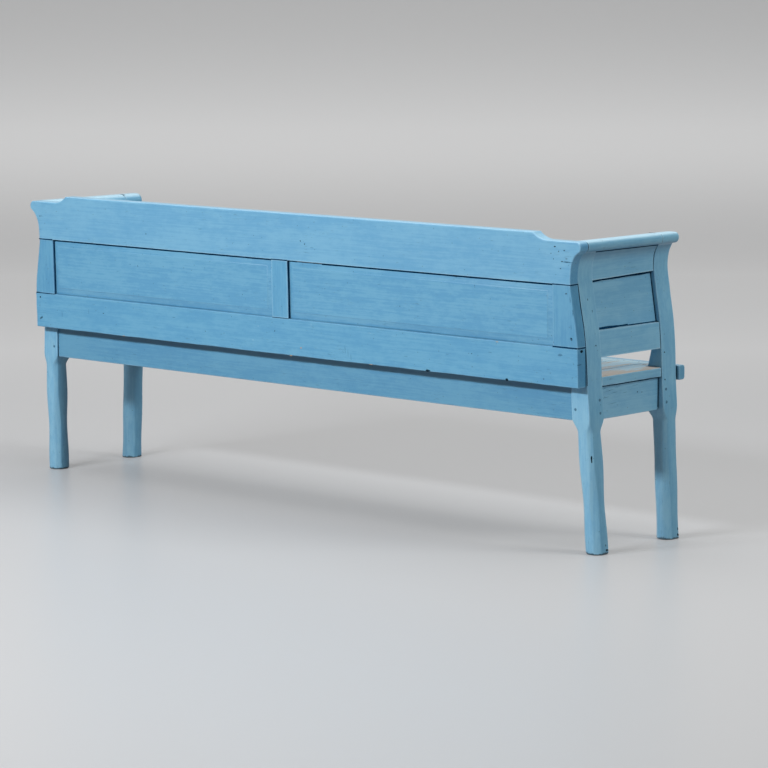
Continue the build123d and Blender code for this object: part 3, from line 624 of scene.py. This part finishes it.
# ---- Back panels ----
# Thin pine boards, loose in the frame's grooves and fielded behind: from the groove a broad
# bevel rises all round to a small step and the flat field.

PANEL_SINK, FIELD_SINK, PANEL_T, BEVEL_W = 0.0085, 0.0035, 0.008, 0.018
TONGUE_IN = 0.003  # reach of the modelled tongue into the groove
FIELD_STEP = 0.0009

# a darker copy of the crest's blue: painted shade
panel_paint = painted_pine("panel_paint", "X", (0.126, 0.346, 0.532), Grime=0.35, Streaking=1.9)
# from the tongue's inner face over the bevel to the field, how far each ring reaches past the
# groove's edge and how deep it lies
part = np.array([0.05, 0.35, 0.7, 0.96, 1.0])
reach = np.r_[TONGUE_IN, TONGUE_IN, -0.0005, -BEVEL_W * part,
              -BEVEL_W - np.array([0.0004, 0.001, 0.0025, 0.009])]
sink = np.r_[PANEL_SINK + PANEL_T, PANEL_SINK, PANEL_SINK,
             PANEL_SINK + (FIELD_SINK + FIELD_STEP - PANEL_SINK) * part,
             FIELD_SINK + np.array([FIELD_STEP * 0.4, 0.0001, 0.0, 0.0])]
square = np.array([(-1, -1), (0, -1), (1, -1), (1, 0), (1, 1), (0, 1), (-1, 1), (-1, 0)])
for hand, x in (("left_", (-STILE_INNER, muntin_x[0])), ("right_", (muntin_x[1], STILE_INNER))):
    middle = np.array([(x[0] + x[1]) / 2, (RAIL_TOP + CREST_BOTTOM) / 2])
    half = np.array([(x[1] - x[0]) / 2, (CREST_BOTTOM - RAIL_TOP) / 2])
    # the panel's rectangle is grown by reach, so that the bevels meet in mitres
    flat = middle + square[None] * (half[None] + reach[:, None])[:, None]
    depth = np.broadcast_to((REAR - sink)[:, None], flat.shape[:2])
    rings = np.stack([flat[..., 0], depth, flat[..., 1]], -1)
    shell(hand + "panel_board", lean(rings), "bench", panel_paint, hand + "back_panel")

# ---- Arm frames ----
# Each end has two rails that follow the sawn curve, tenoned and pegged into the posts, with a
# flat panel between them, and an apron below the seat.

PANEL_FOOT, PANEL_HEAD, ARM_PANEL_T = 0.962, 0.9415, 0.010
ARM_RAIL_Z, ARM_RAIL_RISE, HAND_RAIL_Z = (0.666, ARM_SEAT), 0.006, (0.4805, 0.5455)
ARM_RAIL_IN, HAND_RAIL_IN = (0.002, 0.005), (0.0025, 0.006)  # set in from the posts' faces
APRON_Z, END_APRON_X, APRON_EASE_R = (0.327, 0.410), (0.9465, 0.9705), 0.007
PANEL_WORN, APRON_WORN = 0.0006, 0.0014

end_paint = painted_pine("end_paint", "Y", (0.170, 0.400, 0.585))
# the roll's tops are paler by Tops: worn paint and a painted sheen
roll_paint = painted_pine("roll_paint", "Y", (0.152, 0.360, 0.520), Tops=0.85, Streaking=1.8)


def met(y, z, start, end):
    """Depths y drawn out so that their end meets the leaning back: there y grows by
    (z - hinge z) tan rake, and in proportion from start on."""
    return y + (y - start) / (end - start) * (z - HINGE_Z) * math.tan(RAKE)


def between_posts(outline, radius, seed, rise=0.0):
    """Rings of an outline (x, z) carried from the front post back to the leaning back post. The
    lower edge climbs towards the front by rise."""
    rings = carried(outline, FRONT_POST_REAR + GAP / 2, BACK_POST_FRONT - GAP / 2, radius, 0.3, seed)
    x, z, y = rings[..., 0], rings[..., 1], rings[..., 2]
    part = (y - FRONT_POST_REAR) / (BACK_POST_FRONT - FRONT_POST_REAR)
    low, high = outline[:, 1].min(), outline[:, 1].max()
    raised = z + rise * (1 - part) * (high - z) / (high - low)
    return np.stack([x, met(y, z, FRONT_POST_REAR, BACK_POST_FRONT), raised], -1)


def end_rail(z, set_in):
    """Outline (x, z) of an end rail: the post's sawn curves, set in outside and inside."""
    at = np.linspace(z[0], z[1], 14)
    outer = np.stack([through(at, *OUTER) - set_in[0], at], -1)
    inner = np.stack([through(at, *INNER) + set_in[1], at], -1)
    return path(outer, inner[::-1])


foot = np.array([PANEL_FOOT, HAND_RAIL_Z[1]])
head = np.array([PANEL_HEAD, ARM_RAIL_Z[0] + ARM_RAIL_RISE])
along = (head - foot) / np.linalg.norm(head - foot)
inward = np.array([-along[1], along[0]]) * ARM_PANEL_T
foot, head = foot - along * TONGUE_IN, head + along * TONGUE_IN
panel_outline = eased([foot, head, head + inward, foot + inward], (0, 0, 0, 0))

apron_outline = rectangle((FRONT_POST_REAR, BACK_POST_FRONT), APRON_Z, (APRON_EASE_R, 0, 0, 0))
y, z, x = np.moveaxis(carried(apron_outline, *END_APRON_X, APRON_WORN), -1, 0)
apron_rings = np.stack([x, met(y, z, FRONT_POST_REAR, BACK_POST_FRONT), z], -1)

arm_rail_rings = between_posts(end_rail(ARM_RAIL_Z, ARM_RAIL_IN), TIGHT, 21, ARM_RAIL_RISE)
both_ends(end_paint, ("arm_rail_sawn", arm_rail_rings, "arm_rail"),
          ("hand_rail_sawn", between_posts(end_rail(HAND_RAIL_Z, HAND_RAIL_IN), TIGHT, 22), "hand_rail"),
          ("arm_panel_board", between_posts(panel_outline, PANEL_WORN, 23), "arm_panel"),
          ("end_apron_board", apron_rings, "end_apron"))

# ---- Arm rolls ----
# A rounded rail over each end, from the crest to the front post, whose head is carved as the
# roll's end: rounded from above and from the side.

ROLL_X, ROLL_Z = (0.938, 0.989), (ARM_SEAT, 0.7665)
ROLL_RADII = [0.005, 0.0125, 0.0125, 0.021]
TIP_R, TIP_INNER_R = 0.008, 0.018
HEAD_FRONT, HEAD_REAR = FRONT_POST_FRONT - 0.001, FRONT_POST_REAR + 0.0115

section = rectangle(ROLL_X, ROLL_Z, ROLL_RADII, steps=9)


def tucked(depth, radius):
    """How far a rounded corner stands back at a depth: r - sqrt(r^2 - (r - d)^2)."""
    return radius - np.sqrt(radius ** 2 - np.clip(radius - depth, 0, radius) ** 2)


def roll_rings(y, inner_in, other_in):
    """The roll's section fitted, at each y, into its box drawn in by given amounts."""
    low = np.stack([ROLL_X[0] + inner_in, ROLL_Z[0] + other_in], -1)[:, None]
    high = np.stack([ROLL_X[1] - other_in, ROLL_Z[1] - other_in], -1)[:, None]
    share = (section - section.min(0)) / (section.max(0) - section.min(0))
    flat = low + (high - low) * share[None]
    return np.stack([flat[..., 0], np.broadcast_to(y[:, None], flat.shape[:2]), flat[..., 1]], -1)


# how far the sawn ends are worn in, and at which distance from the end
end_in = np.array([0.0014, 0.0006, 0.0002, 0.0, 0.0])
end_off = np.array([0.0, 0.0, 0.0003, 0.0008, 0.0025])
tip = TIP_INNER_R * (1 - np.cos(np.linspace(0.0, math.pi / 2, 16)))
head_in, head_other = (np.r_[tucked(tip, radius), end_in[::-1]] for radius in (TIP_INNER_R, TIP_R))
head_y = np.r_[HEAD_FRONT + tip, HEAD_REAR - GAP / 2 - end_off[::-1]]
both = np.r_[end_in, end_in[::-1]]
arm_y = np.r_[HEAD_REAR + GAP / 2 + end_off, BACK_POST_REAR - GAP / 2 - end_off[::-1]]
arm_rings = roll_rings(arm_y, both, both)
arm_rings[..., 1] = met(arm_rings[..., 1], arm_rings[..., 2], HEAD_REAR, BACK_POST_REAR)
both_ends(roll_paint, ("arm_roll_planed", arm_rings, "arm_roll"),
          ("post_head", roll_rings(head_y, head_in, head_other), "front_post"))

# ---- Aprons and front rail ----
# The back apron is a board tenoned between the back legs, with painted shadow under the frame.
# The pull-out front is a rounded rail on the ends of the sliding slats and an apron below it. All are
# painted.

POST_INNER = 0.9315
BACK_APRON_Y = (BACK_POST_REAR - 0.008, BACK_POST_REAR - 0.032)
NOSE_HALF, NOSE_R, NOSE_REAR_R = 0.987, 0.007, 0.0035
NOSE_REAR = FRONT_POST_FRONT - 0.0045
NOSE_Y, NOSE_Z = (NOSE_REAR - 0.024, NOSE_REAR), (0.396, 0.433)
BACK_APRON_WORN, NOSE_WORN, SHADED_R = 0.002, 0.0024, 0.0015
# a darker copy of the blue: painted shade on the back apron under the rail's overhang; the front rail takes
# it too
APRON_BLUE = (0.106, 0.300, 0.465)

apron_paint = painted_pine("apron_paint", "X", APRON_BLUE)
# painted shadow along the top of the back apron, under the frame's bottom rail
shadow_band_paint = painted_pine("shadow_band_paint", "X", APRON_BLUE, shadow_band_from=0.391)
rings = carried(rectangle((-POST_INNER, POST_INNER), APRON_Z), *BACK_APRON_Y, BACK_APRON_WORN, seed=31)
shell("back_apron_board", rings[..., [0, 2, 1]], "bench", shadow_band_paint, "back_apron")

nose_outline = rectangle(NOSE_Y, NOSE_Z, (NOSE_R, NOSE_REAR_R, NOSE_REAR_R, NOSE_R))
rings = carried(nose_outline, -NOSE_HALF, NOSE_HALF, NOSE_WORN, 0.3, 32)
shell("front_rail_board", rings[..., [2, 0, 1]], "pull_out", apron_paint, "front_rail")


def finish_nodes(names, material):
    """Gives CAD nodes a material in place of the one they came with."""
    for name in names:
        slots = nodes[name].data.materials
        slots.clear()
        slots.append(material)


finish_nodes(["front_apron"], painted_pine("front_paint", "X", eased_by=SHADED_R))

# ---- Seat slats ----
# Pine slats laid front to back, fixed ones on the aprons and sliding ones on the pull-out
# front between them. Their paint is rubbed thin, through to grey wood where people sit.

GREY_WOOD = (0.50, 0.46, 0.42)
SLAT_EDGE, SLAT_END = 0.0018, 0.0013  # rounding along a slat, and at its ends


def build_rubbed():
    """How bare a seat board is: high in long patches and along its arrises."""
    tree, given = new_group("rubbed", Vector=None, Most=0.5)
    arris = use_group(tree, edges_group)["Arris"]
    long = drawn_out(given["Vector"], 6.0, 5.0, 5.0, 0.65)
    fine = drawn_out(given["Vector"], 14.0, 30.0, 4.0, 0.7)
    rubbed = weighed(long, 1.0, fine, 0.4, arris, 0.12, given["Most"], 0.3)
    return end_group(tree, Bare=ramp(rubbed, 0.78, 0.92))


slat_paint, tree = new_material("slat_paint")
place = along_board(tree, "Y")
upward = ramp(coordinates(tree, "Normal")[2], 0.5, 0.9)
thin = mixed(upward, (0.165, 0.39, 0.57), (0.30, 0.50, 0.61))
painted = use_group(tree, paint_group, Vector=place, Paint=thin, Chipping=0.8)
grain = use_group(tree, grain_group, Vector=place)
wood = mixed(times(grain["Rings"], 0.6), GREY_WOOD, (0.35, 0.30, 0.25))
most = ramp(arithmetic("ABSOLUTE", coordinates(tree, "Object")[0]), 0.90, 0.975, 0.35, 1.0)
bare = times(use_group(tree, build_rubbed(), Vector=place, Most=most)["Bare"], upward)
surface(slat_paint, mixed(bare, painted["Color"], wood), ramp(bare, 0, 1, 0.42, 0.6), painted["Height"])

for name in [name for name in nodes if "slat_" in name and "nails" not in name]:
    low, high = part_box(name)
    outline = rectangle((low[0], high[0]), (low[2], high[2]), [SLAT_EDGE] * 4)
    rings = carried(outline, high[1], low[1], SLAT_END, 0.3, len(name) + int(name[-2:]))
    body = "pull_out" if name.startswith("sliding") else "bench"
    shell(name + "_board", rings[..., [0, 2, 1]], body, slat_paint, name, slot="bare_wood")

# the outermost boards are notched round both posts, with a little room
low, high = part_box("right_end_slat")
notch_x, rear_y, front_y = POST_INNER - 0.0015, BACK_POST_FRONT - 0.002, FRONT_POST_REAR + 0.0015
outline = eased([
    (low[0], low[1]), (notch_x, low[1]), (notch_x, front_y), (high[0], front_y),
    (high[0], rear_y), (notch_x, rear_y), (notch_x, high[1]), (low[0], high[1])], [0] * 8)
rings = carried(outline, low[2], high[2], LESS_WORN, seed=41)
both_ends(slat_paint, ("end_slat_board", rings, "end_slat"), slot="bare_wood")

# ---- Pull-out works ----
# Unpainted pine under the seat: the bearer between the front posts with runners to the back
# apron, and on the pull-out front the stretcher and two folding legs with their stops.


def bare_pine(name, axis):
    """Bare pine darkened with age, its grain along axis: rings, streaks, and painted shade in its crevices.
    """
    material, tree = new_material(name)
    grain = use_group(tree, grain_group, Vector=along_board(tree, axis))
    crevice = use_group(tree, edges_group)["Crevice"]
    colour = mixed(ramp(grain["Rings"], 0.2, 0.95), (0.42, 0.30, 0.185), (0.30, 0.195, 0.11))
    dusty = ramp(arithmetic("ADD", grain["Streaks"], grain["Cloud"]), 0.85, 1.15)
    colour = mixed(times(dusty, 0.35), colour, (0.30, 0.27, 0.23))
    colour = mixed(times(grain["Ticks"], 0.5), colour, (0.12, 0.07, 0.04))
    # painted shade in crevices
    colour = mixed(times(crevice, 0.7), colour, (0.05, 0.035, 0.025))
    height = weighed(grain["Streaks"], 1.0, grain["Rings"], 0.4)
    return surface(material, colour, ramp(grain["Streaks"], 0.3, 0.7, 0.52, 0.66), height, eased_by=SHADED_R)


finish_nodes(["stretcher", "front_bearer", "left_fold_leg", "right_fold_leg"],
             bare_pine("bare_pine_long", "X"))
finish_nodes(["left_runner", "right_runner", "left_leg_stop", "right_leg_stop"],
             bare_pine("bare_pine_deep", "Y"))

# ---- Pegs, nails and bolts ----
# Whittled pine pegs through the joints, painted over, square cut nails in the slats and the
# back frame, and forged bolts that the folding legs turn on.

peg_paint = painted_pine("peg_paint", "Y", (0.050, 0.165, 0.265), Pale=0.0, Chipping=0.0)
finish_nodes(["joint_pegs"], peg_paint)
finish_nodes(["frame_nails"], painted_pine("nail_paint", "Y", (0.13, 0.34, 0.53), Chipping=0.9))

# dull dark iron, with rust in patches a few millimetres across
iron, tree = new_material("old_iron")
rust = ramp(drawn_out(put(tree, "TexCoord").outputs["Object"], 1.0, 180.0, 5.0, 0.65), 0.42, 0.62)
colour = mixed(rust, (0.09, 0.085, 0.08), (0.11, 0.045, 0.02))
surface(iron, colour, ramp(rust, 0, 1, 0.45, 0.8), rust, strength=0.5, deep=0.0004,
        Metallic=ramp(rust, 0, 1, 0.8, 0.05))
finish_nodes(["fixed_slat_nails", "sliding_slat_nails", "left_leg_bolt", "right_leg_bolt"], iron)

# ---- Old marks ----
# Heads of lost nails and peg holes filled with dirt, chips down to the wood, cracks, a knot,
# and dark strips along the joints: dirt, and painted shadow under overhangs and in recesses.
# Each is a thin skin on the painted wood.

SKIN, ROOT = 0.0002, 0.0005  # how proud a mark lies, and how deep it ends
UP, LEFT = (0, 0, 1), (-1, 0, 0)
LEAN_UP, LEAN_OUT = (0, math.sin(RAKE), math.cos(RAKE)), (0, math.cos(RAKE), -math.sin(RAKE))


def stain(name, first, second):
    """A mark's surface: two dull colours in fine patches."""
    material, tree = new_material(name)
    patch = drawn_out(put(tree, "TexCoord").outputs["Object"], 1.0, 300.0, 4.0, 0.7)
    colour = mixed(ramp(patch, 0.4, 0.6), first, second)
    return surface(material, colour, ramp(patch, 0, 1, 0.6, 0.8), patch, strength=0.5, deep=0.0004,
                   **{"Specular IOR Level": 0.05})


dirt = stain("dirt", (0.004, 0.014, 0.024), (0.008, 0.026, 0.042))
# dark blue strips: dirt in the joints, and painted shadow under overhangs and in recesses
seam_dirt_and_shadow = stain("seam_dirt_and_shadow", (0.002, 0.028, 0.072), (0.004, 0.046, 0.105))
bare_spot = stain("bare_spot", (0.40, 0.29, 0.20), (0.48, 0.37, 0.27))
faded = stain("faded", (0.20, 0.42, 0.58), (0.27, 0.48, 0.62))
dull_spot = stain("dull_spot", (0.07, 0.19, 0.30), (0.09, 0.24, 0.37))


def skins(name, places, up, out, long, high, material, turn=0.0):
    """Thin lens-shaped marks: rings at part r of an ellipse, its radius waved by up to a third
    along the way round, rise over the surface by SKIN (1 - r^2) and end at ROOT under it."""
    up, out, long, high = (np.asarray(given, float) for given in (up, out, long, high))
    turn = math.radians(turn)
    angle = np.linspace(0, 2 * math.pi, 18, endpoint=False)
    part = np.array([0.3, 0.7, 1.0, 1.0])[:, None]
    lift = np.array([SKIN, SKIN * 0.6, 0.0, -ROOT])[:, None, None]
    circle = np.stack([np.cos(angle), np.sin(angle)], -1)
    wave = 1 + 0.33 * ripple(circle[None] + places[:, None, :2] * 40, 1.1, 51)[:, None, :]
    long = (long[:, None, None] / 2 * part * wave * circle[:, 0])[..., None]
    high = (high[:, None, None] / 2 * part * wave * circle[:, 1])[..., None]
    shell(name, places[:, None, None] + np.cross(up, out) * (long * math.cos(turn) - high * math.sin(turn))
          + up * (long * math.sin(turn) + high * math.cos(turn)) + out * lift, "bench", material)


def on_frame(x, z, sink):
    """Points on the frame's rear face, or sunk behind it, after the frame leans."""
    return lean(np.stack(np.broadcast_arrays(x, REAR - sink, z), -1))


def in_metres(marks):
    """Columns of marks given in millimetres; a mark's fifth number is 0 where it is left out."""
    return np.array([(*mark, 0)[:5] for mark in marks]).T / 1000


def on_back(name, marks, material, turn=0.0):
    """Marks (x, z, long, high, sink) in millimetres on the frame's rear face before it leans."""
    x, z, long, high, sink = in_metres(marks)
    skins(name, on_frame(x, z, sink), LEAN_UP, LEAN_OUT, long, high, material, turn)


def on_end(name, marks, material, turn=0.0):
    """Marks (y, z, long, high, x) in millimetres on the left end; x 0 is the post's sawn face."""
    y, z, long, high, x = in_metres(marks)
    x = np.where(x > 0, x, through(z, *OUTER))
    skins(name, np.stack([-x, y, z], -1), UP, LEFT, long, high, material, turn)


def seams(name, starts, stops, outs, high, material=seam_dirt_and_shadow):
    """Dark strips along joints, dirt in the joints and painted shadow where they lie in shade: at
    each of 60 steps of a line a diamond, h to both sides, SKIN proud and ROOT deep, where h is half
    of high, waved by up to 45 %."""
    starts, stops = np.asarray(starts, float), np.asarray(stops, float)
    outs = np.broadcast_to(np.asarray(outs, float), starts.shape)
    line = starts[:, None] + (stops - starts)[:, None] * np.linspace(0, 1, 60)[:, None]
    side = np.cross(outs, stops - starts)
    side /= np.linalg.norm(side, axis=1)[:, None]
    half = np.broadcast_to(high, len(starts))[:, None] / 2 * (1 + 0.45 * ripple(line, 0.05, 61))
    aside, out = side[:, None] * half[..., None], outs[:, None]
    shell(name, np.stack([line + aside, line + out * SKIN, line - aside, line - out * ROOT], 2),
          "bench", material)


def back_seams(name, rows, outs, material=seam_dirt_and_shadow):
    """Seams (x, z, to x, to z, high, sink) in millimetres on the back frame before it leans."""
    x, z, to_x, to_z, high, sink = np.array(rows, float).T / 1000
    seams(name, on_frame(x, z, sink), on_frame(to_x, to_z, sink), outs, high, material)


# painted shadow of the crest on the sunk panels, and dark joints of the crest and the rail with the stiles
# and the muntin
back_seams("back_seams", [
    (901, 659.2, 50, 659.2, 5.8, 7.4), (-12, 659.8, -40, 659.8, 3.4, 7.6),
    (-128, 659.2, -899, 659.0, 6.2, 7.4), (956, 661.3, 900, 661.3, 3.2, -0.1),
    (-900, 661.2, -955, 661.2, 3.0, -0.1), (48, 661.3, -10, 661.3, 3.0, -0.1),
    (975, 509.0, 900, 509.0, 2.6, -0.1), (-899, 509.4, -974, 509.4, 4.0, -0.1),
    (48, 508.9, -10, 508.9, 1.2, -0.1)], LEAN_OUT)
back_seams("tan_seam", [(-38, 660.6, -130, 660.4, 2.0, 7.5)], LEAN_OUT, bare_spot)
# painted shade on the sides of the right stile and the muntin that face the left end, beside the sunk panels
back_seams("reveal_seams", [(899.9, 510, 899.9, 660, 4.4, 6.0), (-10.1, 510, -10.1, 660, 6.0, 5.2)], LEFT)

back_y, front_y = 1000 * BACK_POST_FRONT, 1000 * FRONT_POST_REAR
# along the joints of the left end: the open joint over the hand rail, and painted shadow under
# the arm rail, the roll and the slats and in the reveals by the front post; in millimetres, with
# the face's lean in degrees
y, z, x, to_y, to_z, to_x, high, slope = np.array([
    (back_y + 5, 548.4, 961.6, -10, 548.4, 961.6, 5.2, 9.2),
    (-8, 547.2, 961.8, front_y, 547.2, 961.8, 2.8, 9.2),
    (back_y + 5, 663.0, 943.2, front_y, 668.8, 942.2, 6.0, 9.2),
    (back_y + 7, 736.0, 964.8, front_y, 736.0, 964.8, 2.4, -27),
    (back_y, 408.2, 970.6, front_y, 408.2, 970.6, 3.8, 0),
    (front_y + 1.5, 546, 962, front_y + 1.5, 671, 941.7, 3, 9.2),
    (front_y + 1.5, 334, 970.6, front_y + 1.5, 409, 970.6, 4.5, 0)]).T / 1000
slope = np.radians(1000 * slope)
seams("end_seams", np.stack([-x, y, z], -1), np.stack([-to_x, to_y, to_z], -1),
      np.stack([-np.cos(slope), 0 * slope, np.sin(slope)], -1), high)
# where the frame meets the post, along the sawn curve, and across its left side at two joints
z = np.linspace(0.416, 0.730, 12)
curve = on_frame(-through(z, *OUTER) - 0.0001, z, FRAME_T)
seams("frame_seam", curve[:-1], curve[1:], LEFT, 0.0014)
x, z = np.array([(-0.9563, 0.6612), (-0.9773, 0.5092)]).T
seams("side_seams", on_frame(x, z, 0.001), on_frame(x, z, FRAME_T - 0.001), LEFT, 0.003)
# the joints across the rolls
y, z = HEAD_REAR, ROLL_Z[1] + 0.0001
seams("roll_seams", [(0.945, y, z), (-0.945, y, z)], [(0.966, y, z), (-0.966, y, z)], UP, [0.0045, 0.0018])

on_back("back_dirt", [
    (-957, 533, 5, 4), (-870, 427, 4, 2), (-931, 717, 7, 2), (-494, 415, 15, 6), (-753, 415, 9, 6),
    (-909, 752, 6, 3), (-921, 741, 3, 3), (-938, 744, 5, 2), (-897, 735, 3, 2), (-926, 700, 4, 2),
    (-905, 722, 2, 3), (-60, 715, 4, 3), (-75, 708, 3, 3), (160, 560, 3, 3, 3.6), (-400, 570, 3, 3, 3.6),
    (560, 610, 3, 3, 3.6), (590, 612, 2, 3, 3.6), (-650, 640, 3, 2, 3.6), (-586, 661, 9, 4, 0.5),
    (-899, 661, 12, 4, 0.5), (-957, 509, 30, 2.6, 0.5), (126, 662, 8, 4, 0.5), (950, 725, 3, 3),
    (959, 497, 6, 4), (955, 440, 4, 6), (-942, 640, 3, 3), (300, 452, 3, 2), (-640, 470, 3, 2),
    (520, 700, 3, 3), (700, 470, 5, 2), (40, 473, 3, 3), (-946, 717, 24, 1.4)], dirt)
on_back("back_chips", [
    (-54, 436, 7, 3), (-17, 413, 8, 3), (-723, 506, 9, 2), (-30, 645, 26, 3, 8), (-56, 644, 8, 3, 8),
    (-300, 413.5, 12, 1.5), (620, 414, 9, 1.5)], bare_spot)
on_back("back_fading", [
    (101, 481, 4, 4), (121, 443, 5, 3), (-299, 494, 12, 1.2), (-380, 493, 16, 1.0), (-453, 494, 10, 1.2),
    (-92, 499, 2.5, 9)], faded)
on_back("back_scratches", [
    (-211, 444, 1.2, 22), (-221, 436, 1.0, 18), (-231, 426, 1.2, 16), (-922, 490, 14, 6),
    (-951, 716, 30, 1.6), (870, 455, 1.4, 16), (760, 470, 1.2, 14), (-955, 626, 2.4, 14),
    (-963, 595, 2.4, 16), (-957, 560, 2, 12), (-700, 478, 12, 1.4), (-560, 462, 10, 1.2),
    (-420, 445, 14, 1.2), (-100, 700, 12, 1.2), (310, 725, 14, 1.2), (640, 590, 16, 1.2, 3.6),
    (-330, 620, 14, 1.2, 3.6), (-760, 560, 18, 1.4, 3.6), (420, 480, 12, 1.2)], dull_spot, turn=3.0)
on_end("end_dirt", [
    (133, 510, 5, 5), (123, 366, 3, 3), (125, 344, 3.5, 3.5), (-135, 470, 5, 4), (-135, 402, 5, 5),
    (-137, 376, 3.5, 3.5), (-136, 344, 4, 4), (-115, 537, 5, 4, 971.6), (-39, 380, 5, 3.5, 970.4),
    (-57, 378, 4.5, 3, 970.4), (188, 502, 14, 9, 976.9), (181, 509, 8, 4, 976.6), (104, 430, 8, 6, 970.5),
    (108, 420, 3, 5, 970.5), (60, 424, 3, 3, 970.5), (20, 418, 3, 2, 970.5), (196, 470, 16, 1.2, 977),
    (146, 620, 2, 10), (134, 590, 1.4, 14), (117, 9, 11, 9, 1002.5), (121, 22, 3, 8, 1001.9),
    (-167, 9, 7, 8, 1002.5), (-167, 24, 3, 8, 1001.8)], dirt)
on_end("end_cracks", [
    (70, 395, 30, 1.1, 970.5), (52, 388, 26, 1.0, 970.5), (86, 379, 22, 1.0, 970.5),
    (40, 401, 22, 0.9, 970.5), (10, 384, 18, 0.8, 970.5), (92, 401, 12, 1.2, 970.5),
    (60, 362, 34, 0.8, 970.5), (-30, 398, 26, 0.8, 970.5)], dull_spot, turn=3.0)
# a knot on the planed corner of the left back leg, halfway round its third corner
column = back_rings[:, 2 * CORNER_POINTS + CORNER_POINTS // 2]
z = np.array([0.239, 0.231])
knots = np.stack([-np.interp(z, column[:, 2], column[:, 0]), np.interp(z, column[:, 2], column[:, 1]), z], -1)
skins("leg_knot", knots, UP, (-math.sqrt(0.5), math.sqrt(0.5), 0), [0.004, 0.003], [0.016, 0.006], dirt)

scene.view_settings.view_transform = "Standard"
